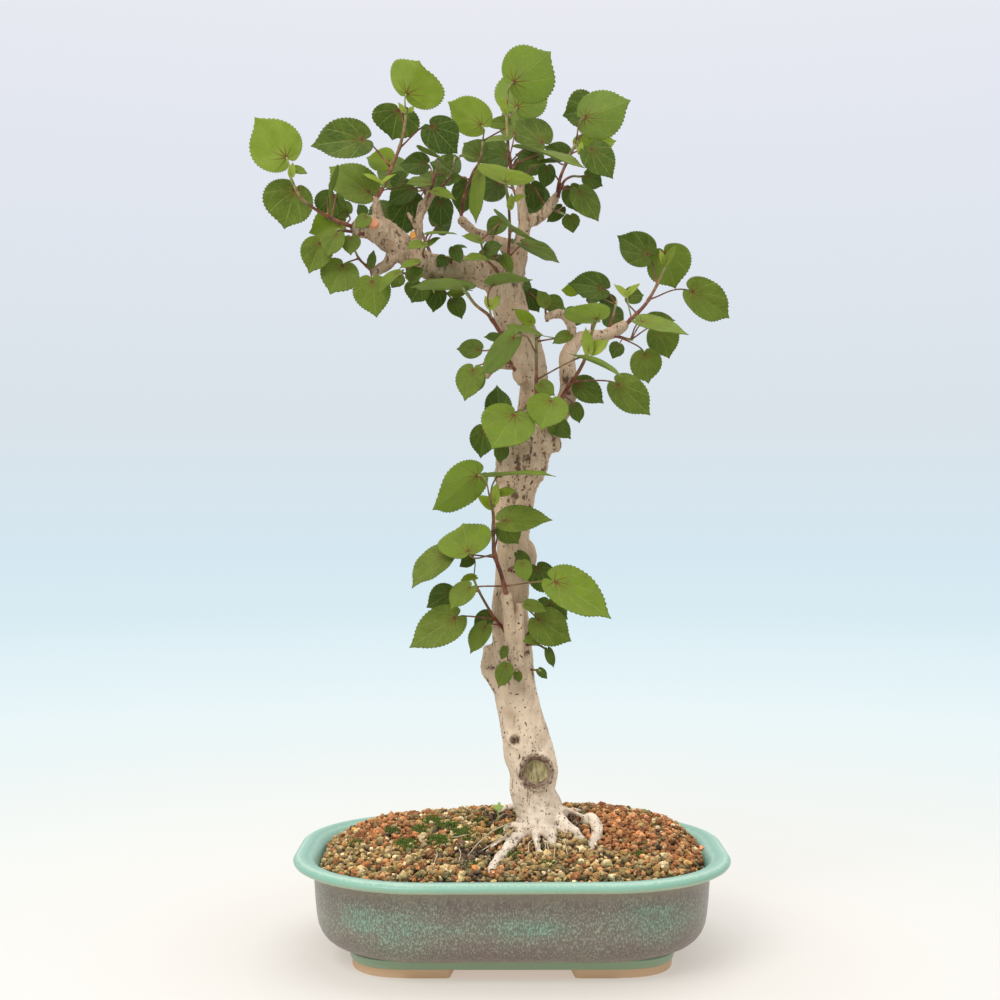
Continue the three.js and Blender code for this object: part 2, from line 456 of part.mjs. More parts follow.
// The leafy shoots. Each has its stem, as places with the radius at its foot and tip, and its leaves.
// A leaf is: how far up the stem its stalk leaves, the foot of the blade, the tip of the blade, the
// width, and how far its upper side turns up from facing the front, in degrees.
const SHOOTS = {
  left_end: {
    stem: [[-121, 551, -55], [-140, 559, -60], [-160, 572, -66], [-169, 588, -70]], radii: [1.6, 1.1],
    leaves: [
      [1, -172.5, 604.5, -72, -198, 636, -84, 42, 165],
      [0.85, -166, 580, -60, -176, 549, -54, 41, 10],
      [0.35, -138, 577, -70, -139, 584, -104, 37, 180],
      [0.3, -136, 575, -44, -142, 556, -42, 25, 10],
      [1, -167, 596, -70, -156.5, 593, -70, 7, 20],
      [0.1, -126, 562, -38, -139, 571, -34, 17, 20],
    ],
  },
  left_end_low: {
    stem: [[-115, 546, -56], [-125, 548, -54], [-131, 549, -56]], radii: [1.3, 1],
    leaves: [
      [1, -147, 539, -60, -155, 515.5, -62, 24, -10],
      [0.8, -131, 553, -46, -157, 548, -44, 30, 24],
      [0.7, -134, 546, -66, -142, 529, -70, 19, 14],
      [0.3, -123, 543, -64, -124, 530, -68, 15, 10],
    ],
  },
  left_low: {
    stem: [[-106, 517, -42], [-112, 522, -44], [-117, 527, -46], [-120, 533, -47]], radii: [1.3, 0.9],
    leaves: [
      [0.7, -129.5, 522, -52, -139.5, 500, -56, 31, 5],
      [0.15, -107, 510, -52, -104, 483, -54, 29, 5],
    ],
  },
  up_left: {
    stem: [
      [-104, 573, -47], [-99, 581, -47], [-92, 597, -48], [-86, 612, -50], [-82, 628, -52], [-81, 638, -53],
    ],
    radii: [1.7, 1.2],
    leaves: [
      [1, -80.5, 653.5, -54, -69, 682, -82, 47, 180],
      [0.85, -87, 641, -44, -93, 617, -36, 38, 5],
      [0.38, -113.5, 618.5, -56, -155, 616, -64, 34, 15],
      [0.36, -93, 602, -36, -112, 606, -32, 22, 20],
      [0.05, -109, 578, -34, -141, 601, -26, 32, 15],
      [0.62, -61.5, 628.5, -46, -41, 608, -42, 30, 10],
      [0.2, -100, 585, -66, -114, 593.5, -72, 8, 60],
      [0.2, -99, 585, -66, -89, 593, -70, 8, 60],
      [0.1, -84, 586, -40, -93, 592, -38, 15, 10],
    ],
  },
  mid_left: {
    stem: [[-63, 576, -24], [-60, 586, -24], [-57, 596, -25], [-56, 603, -26]], radii: [1.3, 0.9],
    leaves: [
      [1, -57, 604.5, -28, -60, 609, -58, 34, 180],
      [0.6, -51, 592, -20, -61, 595.5, -16, 9, 20],
      [0.3, -64, 585, -36, -81, 586, -42, 15, 50],
      [0.1, -59, 579, -44, -42, 574, -50, 14, 50],
      [0.4, -66, 600, -14, -87, 600, -12, 19, 10],
      [0.1, -55, 571, -4, -54, 551, -2, 21, 5],
    ],
  },
  mid_left_rear: {
    stem: [[-59, 576, -18], [-52, 584, -11], [-46, 592, -8], [-44, 602, -6]], radii: [1.2, 0.9],
    leaves: [
      [0.95, -45, 603, -2, -53, 600, 0, 14, 20],
      [0.5, -46, 588, -18, -38, 590, -20, 9, 10],
      [1, -38, 606, -10, -27, 603, -14, 9, 60],
      [0.15, -78, 574, 10, -86, 542, 14, 31, 10],
      [0.1, -76, 581, -2, -95, 570, 2, 20, 10],
    ],
  },
  centre_left: {
    stem: [[-39, 557, 28], [-36, 575, 24], [-30, 592, 20], [-24, 603, 16], [-22, 617, 12]], radii: [1.6, 1.1],
    leaves: [
      [1, -21, 631, 4, -51, 647.5, -8, 37, 170],
      [0.75, -24, 606, 26, -37, 617, 30, 22, 10],
      [0.3, -34, 585, 34, -40, 560, 40, 21, 5],
      [0.6, -24, 592, -2, -29.5, 555, -8, 30, 65],
      [1, -3, 632, 20, -21, 630, 22, 11, 10],
      [0.5, -44, 592, 44, -62, 600, 52, 26, 165],
    ],
  },
  centre_top: {
    stem: [[7, 582, -1], [1, 592, -6], [-2, 604, -9], [-3, 617, -12], [-4, 640, -16]], radii: [1.8, 1.2],
    leaves: [
      [1, 1.5, 662.5, -20, 30.5, 686, -38, 47, 170],
      [0.9, 4, 643, 6, 13, 675, 14, 43, 175],
      [0.3, 24, 616, 2, 3, 634, 6, 28, 10],
      [0.6, -4, 619, -26, -21, 617, -34, 16, 60],
      [0.3, -4, 606, 10, -20, 601, 12, 18, 10],
      [0.35, 10, 611, -22, 56, 602, -44, 34, 75],
      [0.1, 18, 604, 8, 3, 608, 10, 14, 10],
    ],
  },
  front_mid: {
    stem: [[-1, 521, -7], [-2.5, 530, -18], [-1.5, 545, -28], [-2, 565, -38], [-4.5, 585, -50]],
    radii: [1.6, 1.1],
    leaves: [
      [1, -5, 586, -54, -8, 600, -88, 43, 180],
      [0.45, 1, 549, -34, 2, 556, -66, 40, 180],
      [0.15, 10, 538, -28, 38, 526, -30, 26, 55],
      [0.15, -19, 533, -30, -7, 538, -34, 13, 20],
      [0.1, -7, 529, -22, 1, 516, -26, 10, 10],
    ],
  },
  front_mid_left: {
    stem: [[-8, 513, -12], [-14, 521, -22], [-20, 528, -28], [-24, 541, -32]], radii: [1.4, 0.9],
    leaves: [
      [1, -24, 541, -36, -38, 545, -42, 14, 55],
      [0.6, -21, 527, -40, -38, 528, -48, 15, 60],
      [1, -8, 556, -14, -19, 546, -18, 16, 10],
    ],
  },
  trunk_front: {
    stem: [[-8, 469, -9], [-13, 477, -17], [-18, 484, -23], [-28, 492, -31], [-36, 503, -38]],
    radii: [1.9, 1.3],
    leaves: [
      [1, -36, 504, -40, -80, 510, -56, 36, 98],
      [0.35, -14, 507.5, -50, 16, 513.5, -62, 30, 98],
      [0.9, -38, 501, -26, -50, 501, -24, 9, 20],
    ],
  },
  limb_under: {
    stem: [[-60, 515, -20], [-61, 509, -22], [-60, 504, -22]], radii: [1.2, 0.9],
    leaves: [
      [0.7, -70, 507, -26, -77, 493.5, -28, 23, 16],
      [1, -56, 503, -26, -60, 486, -28, 17, 5],
      [0.3, -45, 495, -10, -37.5, 480.5, -8, 15, 10],
    ],
  },
  limb_front_a: {
    stem: [[-66, 526, -33], [-68, 531, -44], [-66, 537, -50]], radii: [1.2, 0.9],
    leaves: [
      [1, -67, 538, -54, -80, 536, -62, 13, 50],
      [1, -64, 538, -54, -55, 544, -60, 8, 50],
      [1, -64, 546, -52, -42, 547.5, -60, 16, 75],
    ],
  },
  limb_front_b: {
    stem: [[-80, 522, -38], [-80, 515, -48], [-79, 511, -52]], radii: [1.2, 0.9],
    leaves: [
      [0.6, -87, 516.5, -54, -104, 502.5, -62, 16, 55],
      [1, -78, 511.5, -57, -68, 520, -60, 13, 15],
      [0.6, -86, 514, -46, -92, 505, -46, 13, 5],
      [0.3, -72, 525, -58, -86, 521, -64, 10, 50],
    ],
  },
  limb_front_c: {
    stem: [[-47, 519, -20], [-46, 526, -30], [-44, 534, -34]], radii: [1.1, 0.8],
    leaves: [
      [0.6, -51, 528, -34, -57, 521, -36, 11, 10],
      [1, -44, 535, -38, -39, 523, -40, 11, 5],
      [1, -44, 536, -40, -34, 536.5, -46, 8, 60],
    ],
  },
  limb_end_front: {
    stem: [[-112, 552, -58], [-112, 557, -67]], radii: [1.1, 0.9],
    leaves: [
      [1, -111, 559, -70, -120, 551, -74, 12, 10],
      [1, -113, 561, -66, -118, 568.5, -66, 9, 0],
    ],
  },
  top_right: {
    stem: [[35, 576, 13], [37, 588, 10], [43, 603, 6], [49, 615, 2]], radii: [1.8, 1.2],
    leaves: [
      [1, 56, 635.5, -6, 92, 649, -16, 38, 170],
      [1, 61, 641, 14, 38, 638, 16, 32, 10],
      [0.8, 61, 611.5, -6, 78, 588.5, -10, 26, 5],
      [1, 53, 612, 20, 56, 624, 24, 15, 5],
      [0.9, 62, 614, 16, 80.5, 618, 18, 17, 10],
      [0.6, 42, 606, 22, 24, 614, 26, 17, 15],
      [0.6, 35, 602, -18, 12, 600, -30, 16, 65],
    ],
  },
  top_right_low: {
    stem: [[36, 576, 10], [40, 586, 8], [46, 590, 10], [52, 590, 12]], radii: [1.4, 1],
    leaves: [
      [1, 57, 590.5, 14, 71, 583, 16, 16, 5],
      [0.2, 52, 579, 0, 66, 556, -6, 23, 15],
      [0.2, 45, 581, 24, 50, 563, 28, 19, 5],
      [0.3, 27, 597, 22, 25, 580, 26, 14, 0],
    ],
  },
  top_right_under: {
    stem: [[27, 563, 13], [32, 564, 22], [38, 562, 26]], radii: [1.2, 0.9],
    leaves: [
      [1, 45, 559.5, 28, 47, 547, 28, 15, 0],
      [0.8, 38, 566, 32, 27, 555, 34, 12, 0],
      [0.2, 15, 583, 22, 19, 562, 26, 19, 0],
    ],
  },
  right_end: {
    stem: [[88, 477, 39], [100, 489, 46], [106, 497, 52], [113, 510, 58], [118, 521, 62]], radii: [1.9, 1.2],
    leaves: [
      [0.72, 105, 530, 62, 81, 545, 60, 31, 10],
      [1, 117, 532, 72, 127, 504.5, 80, 41, 8],
      [0.48, 138, 502, 84, 171, 481, 98, 33, 8],
      [0.2, 89, 498, 54, 102, 500, 58, 16, 10],
      [0.1, 88, 499, 34, 79, 508, 30, 7, 30],
      [0.1, 89, 500, 34, 98, 508.5, 30, 6, 30],
    ],
  },
  right_low: {
    stem: [[80, 467.5, 33], [91, 465, 42]], radii: [1.3, 1],
    leaves: [
      [1, 99, 479, 32, 136, 470, 20, 31, 60],
      [1, 112, 473, 54, 122.5, 450, 58, 28, 5],
      [0.3, 102, 454, 46, 106, 430.5, 50, 27, 5],
      [1, 107, 481, 66, 127, 480, 72, 13, 20],
      [0.5, 82, 461, 32, 77, 450.5, 32, 13, 5],
    ],
  },
  right_mid: {
    stem: [[72, 468, 30], [77, 480, 32], [80, 492, 32]], radii: [1.4, 1],
    leaves: [
      [1, 71, 504, 34, 43, 510, 32, 25, 15],
      [0.7, 78, 494, 42, 65, 497, 46, 12, 10],
      [1, 50, 503, 46, 38, 503, 48, 11, 5],
    ],
  },
  right_stub: {
    stem: [[27, 481, 6], [26, 487, 4], [27, 491, 3]], radii: [1.2, 0.9],
    leaves: [
      [1, 27, 492, 0, 20, 503, -2, 12, 10],
      [1, 28, 493, 8, 42, 489, 10, 16, 10],
      [0.8, 13, 501, 10, 21, 485.5, 12, 17, 5],
    ],
  },
  fork_stem: {
    stem: [[37, 417, -5], [43, 428, -12], [50, 438, -16], [57, 452, -20], [60, 465, -22], [64, 478, -24]],
    radii: [2, 1.3],
    leaves: [
      [1, 66, 481, -26, 40, 491, -48, 34, 118],
      [0.65, 59, 456, -30, 57, 475, -34, 9, 5],
      [0.65, 61, 456, -30, 74, 465, -36, 11, 10],
      [0.3, 51, 431, -10, 70, 416, -12, 21, 5],
      [0.3, 81, 431, -20, 106.5, 408, -24, 28, 5],
      [0.1, 48, 414.5, -6, 52, 400.5, -4, 12, 0],
    ],
  },
  front_right: {
    stem: [[19, 416, -11], [19, 430, -22], [19, 445, -28], [19, 466, -34]], radii: [1.8, 1.2],
    leaves: [
      [1, 22, 468.5, -38, -3, 475, -62, 36, 95],
      [0.4, 52, 451.5, -34, 87, 440.5, -50, 30, 80],
      [0.8, 2, 467, -50, -27, 437, -62, 28, 140],
      [0.25, 22, 431, -36, 33, 422, -40, 13, 10],
      [0.95, 44, 469, -32, 31, 463, -36, 12, 30],
      [0.7, 15, 478, -24, 2, 489, -22, 11, 20],
      [0.1, 30, 418.5, -40, 23, 396.5, -50, 33, 10],
    ],
  },
  front_left: {
    stem: [[3, 441, -13], [-2, 449, -22], [-6, 459, -28]], radii: [1.7, 1.1],
    leaves: [
      [1, -6, 465, -40, -21, 468, -46, 12, 50],
      [1, -25, 457, -20, -43, 458, -16, 16, 10],
      [0.5, -29.5, 442, -36, -36.5, 417.5, -38, 24, 25],
      [0.4, -26, 440, -22, -28, 423.5, -20, 15, 5],
    ],
  },
  trunk_left_low: {
    stem: [[12, 414, -12], [8, 411, -23]], radii: [1.4, 1.1],
    leaves: [
      [1, 2, 407.5, -44, -15, 382.5, -58, 43, 15],
      [0.5, -8, 403, -18, -12, 431, -14, 22, 0],
      [0.8, -21, 396, -26, -24.5, 373.5, -24, 20, 0],
      [0.7, -7, 383, -27, -10, 370.5, -28, 12, 0],
    ],
  },
  trunk_right_low: {
    stem: [[29, 404, -10], [33, 404, -17]], radii: [1.2, 0.9],
    leaves: [
      [1, 33, 402.5, -20, 46, 388.5, -18, 15, 5],
    ],
  },
  lower_front: {
    stem: [
      [-4, 269, -30], [-8, 285, -33], [-13, 300, -36], [-14, 315, -39], [-14, 330, -42], [-15.5, 340, -44],
    ],
    radii: [2.1, 1.4],
    leaves: [
      [1, -26, 361, -50, -64, 335.5, -66, 44, 140],
      [0.75, -10.5, 360.5, -52, 33, 364.5, -66, 44, 88],
      [1, -13, 341, -52, -12, 355, -56, 8, 10],
      [1, -9, 347, -54, 3, 349.5, -58, 8, 30],
      [1, -15, 337, -54, -26, 346, -60, 9, 20],
      [0.7, -6, 326, -56, 31.5, 329, -62, 24, 35],
      [0.5, -6, 323, -46, 6, 308, -48, 20, 5],
      [0.45, -33, 302.5, -58, -38.5, 325.5, -34, 42, 0],
      [0.42, -50, 301, -60, -79, 276.5, -74, 34, 45],
      [0.1, 33, 279.5, -56, 79, 252.5, -60, 44, 40],
      [0.1, -32, 275, -58, -48, 259.5, -66, 22, 45],
    ],
  },
  lower_left: {
    stem: [[-6, 243, -17], [-14, 253, -26], [-24, 270, -32], [-29, 281, -34]], radii: [1.5, 1],
    leaves: [
      [0.25, -43, 252, -44, -77.5, 229.5, -54, 33, 20],
      [0.8, -46, 271, -36, -65, 260, -38, 22, 15],
      [0.1, -20, 245, -38, -32.5, 224.5, -44, 16, 20],
      [0.1, -17, 254, -14, -30, 243, -14, 14, 10],
      [1, -28, 283, -40, -39, 281, -46, 8, 50],
      [1, -30, 297, -34, -40, 291, -34, 10, 10],
    ],
  },
  lower_mid: {
    stem: [[-1, 289, -14], [3, 292, -24]], radii: [1.2, 0.9],
    leaves: [
      [1, 5, 301, -28, 16, 291, -32, 9, 20],
      [0.8, 8, 294, -36, 12, 279.5, -40, 14, 10],
      [0.5, 20, 290, -22, 32, 270.5, -20, 22, 5],
    ],
  },
  lower_right: {
    stem: [[11, 236, -9], [15, 243, -16], [19, 252, -20]], radii: [1.5, 1],
    leaves: [
      [1, 11, 262, -28, 27, 257, -32, 11, 30],
      [1, 29, 262, -16, 44, 250.5, -14, 17, 10],
      [0.6, 20, 251, -6, 46, 233.5, -4, 30, 5],
      [0.3, 20, 234, -34, 6, 237, -38, 9, 40],
    ],
  },
  lower_right_sprig: {
    stem: [[12, 231, -10], [20, 231, -14], [26, 228, -15]], radii: [1.1, 0.9],
    leaves: [
      [1, 28, 227, -15, 32.5, 213, -15, 8, 20],
    ],
  },
  right_sprig: {
    stem: [[14, 212, -8], [20, 211.5, -12]], radii: [1.2, 0.9],
    leaves: [
      [1, 21, 212, -13, 27.5, 205, -14, 7, 10],
    ],
  },
  front_sprig: {
    stem: [[-2, 219, -15], [-3, 218, -25]], radii: [1.1, 0.9],
    leaves: [
      [1, -4, 215, -30, -10, 198.5, -32, 14, 0],
      [0.8, -5, 229, -27, -8, 219.5, -29, 7, 0],
    ],
  },
  front_sprig_low: {
    stem: [[4, 212, -15], [4, 211, -21]], radii: [1, 0.8],
    leaves: [
      [1, 4, 210, -23, 6, 202, -24, 7, 0],
    ],
  },
  back_top: {
    stem: [[8, 556, 8], [6, 568, 26], [0, 584, 44], [-6, 600, 56]], radii: [1.7, 1.2],
    leaves: [
      [1, -6, 610, 62, -26, 602, 76, 28, 160],
      [0.8, 8, 604, 60, 24, 592, 74, 28, 160],
      [0.6, -10, 585, 52, -30, 576, 68, 26, 160],
      [0.4, 14, 575, 42, 30, 564, 58, 26, 160],
      [0.9, 2, 622, 64, 8, 648, 72, 30, 170],
    ],
  },
  back_left: {
    stem: [[-60, 526, -10], [-66, 540, 8], [-74, 560, 22], [-80, 578, 30]], radii: [1.6, 1.1],
    leaves: [
      [1, -84, 590, 34, -104, 602, 44, 28, 165],
      [0.8, -66, 580, 34, -52, 592, 48, 26, 165],
      [0.6, -92, 562, 26, -112, 556, 32, 26, 160],
      [0.3, -58, 552, 24, -46, 562, 38, 22, 160],
    ],
  },
  back_mid: {
    stem: [[3, 478, 9], [-2, 490, 28], [-8, 505, 44], [-10, 520, 54]], radii: [1.6, 1.1],
    leaves: [
      [1, -12, 528, 58, -28, 522, 70, 24, 160],
      [0.7, 2, 508, 50, 14, 498, 62, 20, 160],
      [1, -4, 530, 58, 8, 538, 70, 22, 165],
    ],
  },
  back_right: {
    stem: [[60, 466, 30], [62, 478, 46], [60, 490, 58]], radii: [1.4, 1],
    leaves: [
      [1, 58, 498, 62, 70, 512, 74, 22, 165],
      [0.8, 52, 486, 58, 44, 476, 70, 20, 160],
      [0.5, 74, 484, 52, 86, 478, 64, 20, 160],
    ],
  },
  back_low: {
    stem: [[2, 306, 12], [0, 316, 26], [-4, 328, 34]], radii: [1.3, 1],
    leaves: [
      [1, -4, 336, 40, 4, 356, 46, 24, 170],
      [0.7, 2, 322, 38, -2, 304, 44, 24, 170],
    ],
  },
};

// A blade's outline as a share of its length, at an angle from its tip: round, with a drawn-out tip
// and a notch where the stalk joins.
function heartRadius(angle) {
  const round = 0.53 + 0.286 * Math.cos(angle) + 0.064 * Math.cos(angle) ** 2;
  const tip = 0.12 * Math.exp(-((angle / 0.17) ** 2));
  const notch = 0.25 * Math.exp(-(((Math.PI - angle) / 0.3) ** 2));
  return round + tip - notch;
}

function bladePlace(leaf, slide) {
  const [, across, up, depth, tipAcross, tipUp, tipDepth, width, turn] = leaf;
  const joint = seen(across, up, depth + slide);
  const tip = seen(tipAcross, tipUp, tipDepth + slide);
  const along = tip.clone().sub(joint);
  const length = along.length();
  along.normalize();
  const front = new THREE.Vector3(0, -1, 0).addScaledVector(along, along.y).normalize();
  const lift = along.clone().cross(front);
  if (lift.z < 0) lift.negate();
  const angle = THREE.MathUtils.degToRad(turn);
  const normal = front.clone().multiplyScalar(Math.cos(angle)).addScaledVector(lift, Math.sin(angle));
  const side = along.clone().cross(normal);
  return { joint, along, normal, side, length, stretch: width / (HEART_WIDTH * length) };
}

// A blade's corners run round from its tip. It is folded up along the midrib, with its tip hanging
// a little and its edge waved and toothed.
function outlineOf(place, margin) {
  const { joint, along, normal, side, length, stretch } = place;
  const one = length > LARGE_LEAF ? LARGE_OUTLINE : length > SMALL_LEAF ? MEDIUM_OUTLINE : SMALL_OUTLINE;
  const degrees = [0, ...one, 180, ...one.map((angle) => 360 - angle).reverse()];
  return degrees.map((degree, k) => {
    const angle = THREE.MathUtils.degToRad(degree);
    const fromTip = Math.min(angle, 2 * Math.PI - angle);
    const tooth = degree % 180 === 0 ? 1 : 1 + (k % 2 === 0 ? -TOOTH : TOOTH);
    const radius = heartRadius(fromTip) * tooth + margin / length;
    const x = radius * Math.sin(angle) * stretch;
    const y = radius * Math.cos(angle);
    const wave = BLADE_WAVE * Math.sin(3 * angle + joint.x) * radius;
    const rise = BLADE_FOLD * Math.abs(x) - BLADE_DROOP * y * Math.abs(y) + wave;
    const point = joint.clone()
      .addScaledVector(side, x * length)
      .addScaledVector(along, y * length)
      .addScaledVector(normal, rise * length);
    return { angle, point };
  });
}

// A leaf is a fan of facets round its joint, alike on both faces, with its stalk running out of
// the underside. Without a stalk it is the blade alone.
function leafBody(place, stalkRings, margin) {
  const { joint, normal } = place;
  const half = BLADE_THICKNESS / 2 + margin;
  const outline = outlineOf(place, margin);
  const count = outline.length;
  const corners = [joint.clone().addScaledVector(normal, half)];
  outline.forEach(({ point }) => {
    corners.push(point.clone().addScaledVector(normal, half), point.clone().addScaledVector(normal, -half));
  });
  const under = corners.length;
  corners.push(...(stalkRings ? stalkRings.flat() : [joint.clone().addScaledVector(normal, -half)]));
  const triangles = [];
  let spoke = 0;
  for (let k = 0; k < count; k += 1) {
    const here = 1 + 2 * k;
    const next = 1 + 2 * ((k + 1) % count);
    triangles.push([0, next, here], [here, next, next + 1], [here, next + 1, here + 1]);
    const nextAngle = k + 1 < count ? outline[k + 1].angle : 2 * Math.PI;
    const middle = (outline[k].angle + nextAngle) / 2;
    while (stalkRings && middle > (spoke + 0.5) * STALK_TURN) {
      triangles.push([under + (spoke % 3), here + 1, under + ((spoke + 1) % 3)]);
      spoke += 1;
    }
    triangles.push([under + (spoke % 3), here + 1, next + 1]);
  }
  if (stalkRings) {
    for (let r = 0; r + 1 < stalkRings.length; r += 1) {
      for (let k = 0; k < 3; k += 1) {
        const a = under + 3 * r + k;
        const b = under + 3 * r + ((k + 1) % 3);
        triangles.push([a, b, b + 3], [a, b + 3, a + 3]);
      }
    }
    const last = under + 3 * (stalkRings.length - 1);
    triangles.push([last, last + 1, last + 2]);
  }
  return solidFrom(corners, triangles);
}

function alongStem(points, share) {
  const lengths = points.slice(1).map((point, i) => point.distanceTo(points[i]));
  let left = share * lengths.reduce((sum, length) => sum + length, 0);
  for (let i = 0; i < lengths.length; i += 1) {
    if (left <= lengths[i] || i === lengths.length - 1) {
      return points[i].clone().lerp(points[i + 1], Math.min(left / lengths[i], 1));
    }
    left -= lengths[i];
  }
  return points[0].clone();
}

// A leaf stalk bows from the blade's joint, which it leaves backward and down, to its stem.
function stalkPath(place, start) {
  const { joint, along, normal, length } = place;
  const reach = start.distanceTo(joint);
  const before = joint.clone()
    .addScaledVector(along, -0.28 * reach)
    .addScaledVector(normal, -0.22 * reach);
  const after = start.clone().lerp(joint, 0.3);
  return new THREE.CubicBezierCurve3(joint, before, after, start).getPoints(length > SMALL_LEAF ? 2 : 1);
}

function stalkRadius(place) {
  return place.length > LARGE_LEAF ? PETIOLE_RADIUS : SMALL_PETIOLE_RADIUS;
}

// The stalk's rings are three-sided. The first lies in the blade's underside.
function stalkRings(place, start) {
  const { joint, along, normal, side } = place;
  const radius = stalkRadius(place);
  const path = stalkPath(place, start);
  let across = side;
  return path.map((point, i) => {
    let over = along;
    let middle = joint.clone().addScaledVector(normal, -BLADE_THICKNESS / 2);
    if (i > 0) {
      const back = path[i - 1].clone().sub(path[Math.min(i + 1, path.length - 1)]).normalize();
      across = across.clone().addScaledVector(back, -across.dot(back)).normalize();
      over = back.clone().cross(across);
      middle = point;
    }
    return [0, 1, 2].map((k) => middle.clone()
      .addScaledVector(across, radius * Math.sin(STALK_TURN * k))
      .addScaledVector(over, radius * Math.cos(STALK_TURN * k)));
  });
}

function stalkAlone(place, start, margin) {
  const path = stalkPath(place, start);
  return limb(path, path.map(() => stalkRadius(place) + margin), 3);
}

function stemPoints(shoot) {
  return shoot.stem.map((place) => seen(...place));
}

// The stem's foot is sunk into the wood that carries it.
function stem(shoot) {
  const points = stemPoints(shoot);
  const foot = points[0].clone().sub(points[1]).normalize().multiplyScalar(STEM_SINK).add(points[0]);
  const [thick, thin] = shoot.radii;
  const all = [foot, ...points];
  const last = points.length - 1;
  const radii = all.map((point, i) => THREE.MathUtils.lerp(thick, thin, Math.max(i - 1, 0) / last));
  return limb(all, radii.map((radius) => STEM_FACET * radius), 3);
}

// Leaves keep clear of each other. One that would touch what is already placed slides along its
// sight line, nearer or farther, until it doesn't.
function placed(solid, owner) {
  return { solid, owner, box: solid.boundingBox() };
}

function meets(a, b) {
  const near = [0, 1, 2].every((i) => a.box.min[i] < b.box.max[i] && b.box.min[i] < a.box.max[i]);
  return near && !a.solid.intersect(b.solid).isEmpty();
}

function growShoots(woodBody, soilBody) {
  const stems = Object.entries(SHOOTS).map(([name, shoot]) => placed(stem(shoot), name));
  const taken = [placed(woodBody, 'wood'), placed(soilBody, 'soil'), ...stems];
  const pieces = Object.fromEntries(stems.map((one) => [one.owner, [one.solid]]));
  const crowded = [];
  for (const [name, shoot] of Object.entries(SHOOTS)) {
    const points = stemPoints(shoot);
    shoot.leaves.forEach((leaf, number) => {
      const start = alongStem(points, leaf[0]);
      const slide = SLIDES.find((trial) => {
        const place = bladePlace(leaf, trial);
        const wideBlade = placed(leafBody(place, null, CLEARANCE), name);
        const wideStalk = placed(stalkAlone(place, start, CLEARANCE), name);
        const outerStalk = placed(stalkAlone(place, start.clone().lerp(place.joint, 0.4), CLEARANCE), name);
        return !taken.some((one) => {
          const own = one.owner === name;
          const ownStem = own && one.kind === undefined;
          if (one.owner === 'wood') return meets(wideBlade, one) || meets(outerStalk, one);
          if (ownStem) return place.length > SMALL_LEAF && meets(wideBlade, one);
          if (own && one.kind === 'stalk') return meets(wideBlade, one);
          return meets(wideBlade, one) || meets(wideStalk, one);
        });
      });
      if (slide === undefined) {
        crowded.push(`${name} leaf ${number}`);
        return;
      }
      const place = bladePlace(leaf, slide);
      taken.push({ ...placed(leafBody(place, null, 0), name), kind: 'blade' });
      taken.push({ ...placed(stalkAlone(place, start, 0), name), kind: 'stalk' });
      pieces[name].push(leafBody(place, stalkRings(place, start), 0));
    });
  }
  if (crowded.length > 0) throw new Error(`no room for ${crowded.join(', ')}`);
  return pieces;
}

// A shoot's foot ends at the bark. A scrap that the cut leaves is dropped.
function trimmed(solid, wideWood) {
  const parts = solid.subtract(wideWood).decompose();
  return parts.sort((a, b) => b.volume() - a.volume())[0];
}

// The whole object.
const MATERIALS = {
  glaze: new THREE.MeshStandardMaterial({ color: '#7c8a80', roughness: 0.35, metalness: 0 }),
  soil: new THREE.MeshStandardMaterial({ color: '#80593a', roughness: 0.95, metalness: 0 }),
  bark: new THREE.MeshStandardMaterial({ color: '#c8b190', roughness: 0.85, metalness: 0 }),
  leaf: new THREE.MeshStandardMaterial({ color: '#647d2c', roughness: 0.5, metalness: 0 }),
};

const bonsai = new THREE.Group();

function addNode(name, solid, material) {
  const mesh = new THREE.Mesh(geometryFrom(welded(solid)), material);
  mesh.name = name;
  bonsai.add(mesh);
}

const woodBody = wood(0);
const wideWood = wood(CLEARANCE);
const soilBody = soil();
const shoots = growShoots(woodBody, soilBody);

addNode('pot', bowl(), MATERIALS.glaze);
addNode('soil', soilBody.subtract(lowWood(CLEARANCE)), MATERIALS.soil);
addNode('trunk', woodBody, MATERIALS.bark);
Object.entries(shoots).forEach(([name, solids]) => {
  addNode(`shoot_${name}`, trimmed(fused(solids), wideWood), MATERIALS.leaf);
});

export default bonsai;
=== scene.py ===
# A sea hibiscus grown as a bonsai in a glazed bowl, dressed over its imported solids. Sizes are written in
# millimetres and become metres in the meshes. The front looks towards -Y.
import math
import random

import bmesh
import bpy
from mathutils import Matrix, Vector, kdtree, noise
from mathutils.bvhtree import BVHTree


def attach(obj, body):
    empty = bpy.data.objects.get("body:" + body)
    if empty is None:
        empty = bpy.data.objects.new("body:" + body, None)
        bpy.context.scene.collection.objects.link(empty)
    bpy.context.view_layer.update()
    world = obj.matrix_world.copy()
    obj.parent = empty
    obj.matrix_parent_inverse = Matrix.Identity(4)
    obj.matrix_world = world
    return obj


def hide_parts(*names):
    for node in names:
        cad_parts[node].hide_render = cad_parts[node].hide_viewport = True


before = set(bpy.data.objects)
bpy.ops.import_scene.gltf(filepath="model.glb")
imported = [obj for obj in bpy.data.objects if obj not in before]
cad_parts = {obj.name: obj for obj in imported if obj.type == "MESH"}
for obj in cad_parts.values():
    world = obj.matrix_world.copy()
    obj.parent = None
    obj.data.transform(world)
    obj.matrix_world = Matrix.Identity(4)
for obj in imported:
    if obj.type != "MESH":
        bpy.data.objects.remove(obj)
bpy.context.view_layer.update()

# Camera: level, 1.17 m in front of the trunk and 34 cm up, with the field of view that the bowl's rim and
# feet give. Every place on the tree is written as this eye sees it: across and up in the plane through
# the trunk, and the depth behind that plane.
MM = 0.001
EYE_ACROSS = -8.9
EYE_DISTANCE = 1172
EYE_HEIGHT = 342
SENSOR_WIDTH = 36
FOCAL_LENGTH = 55.04


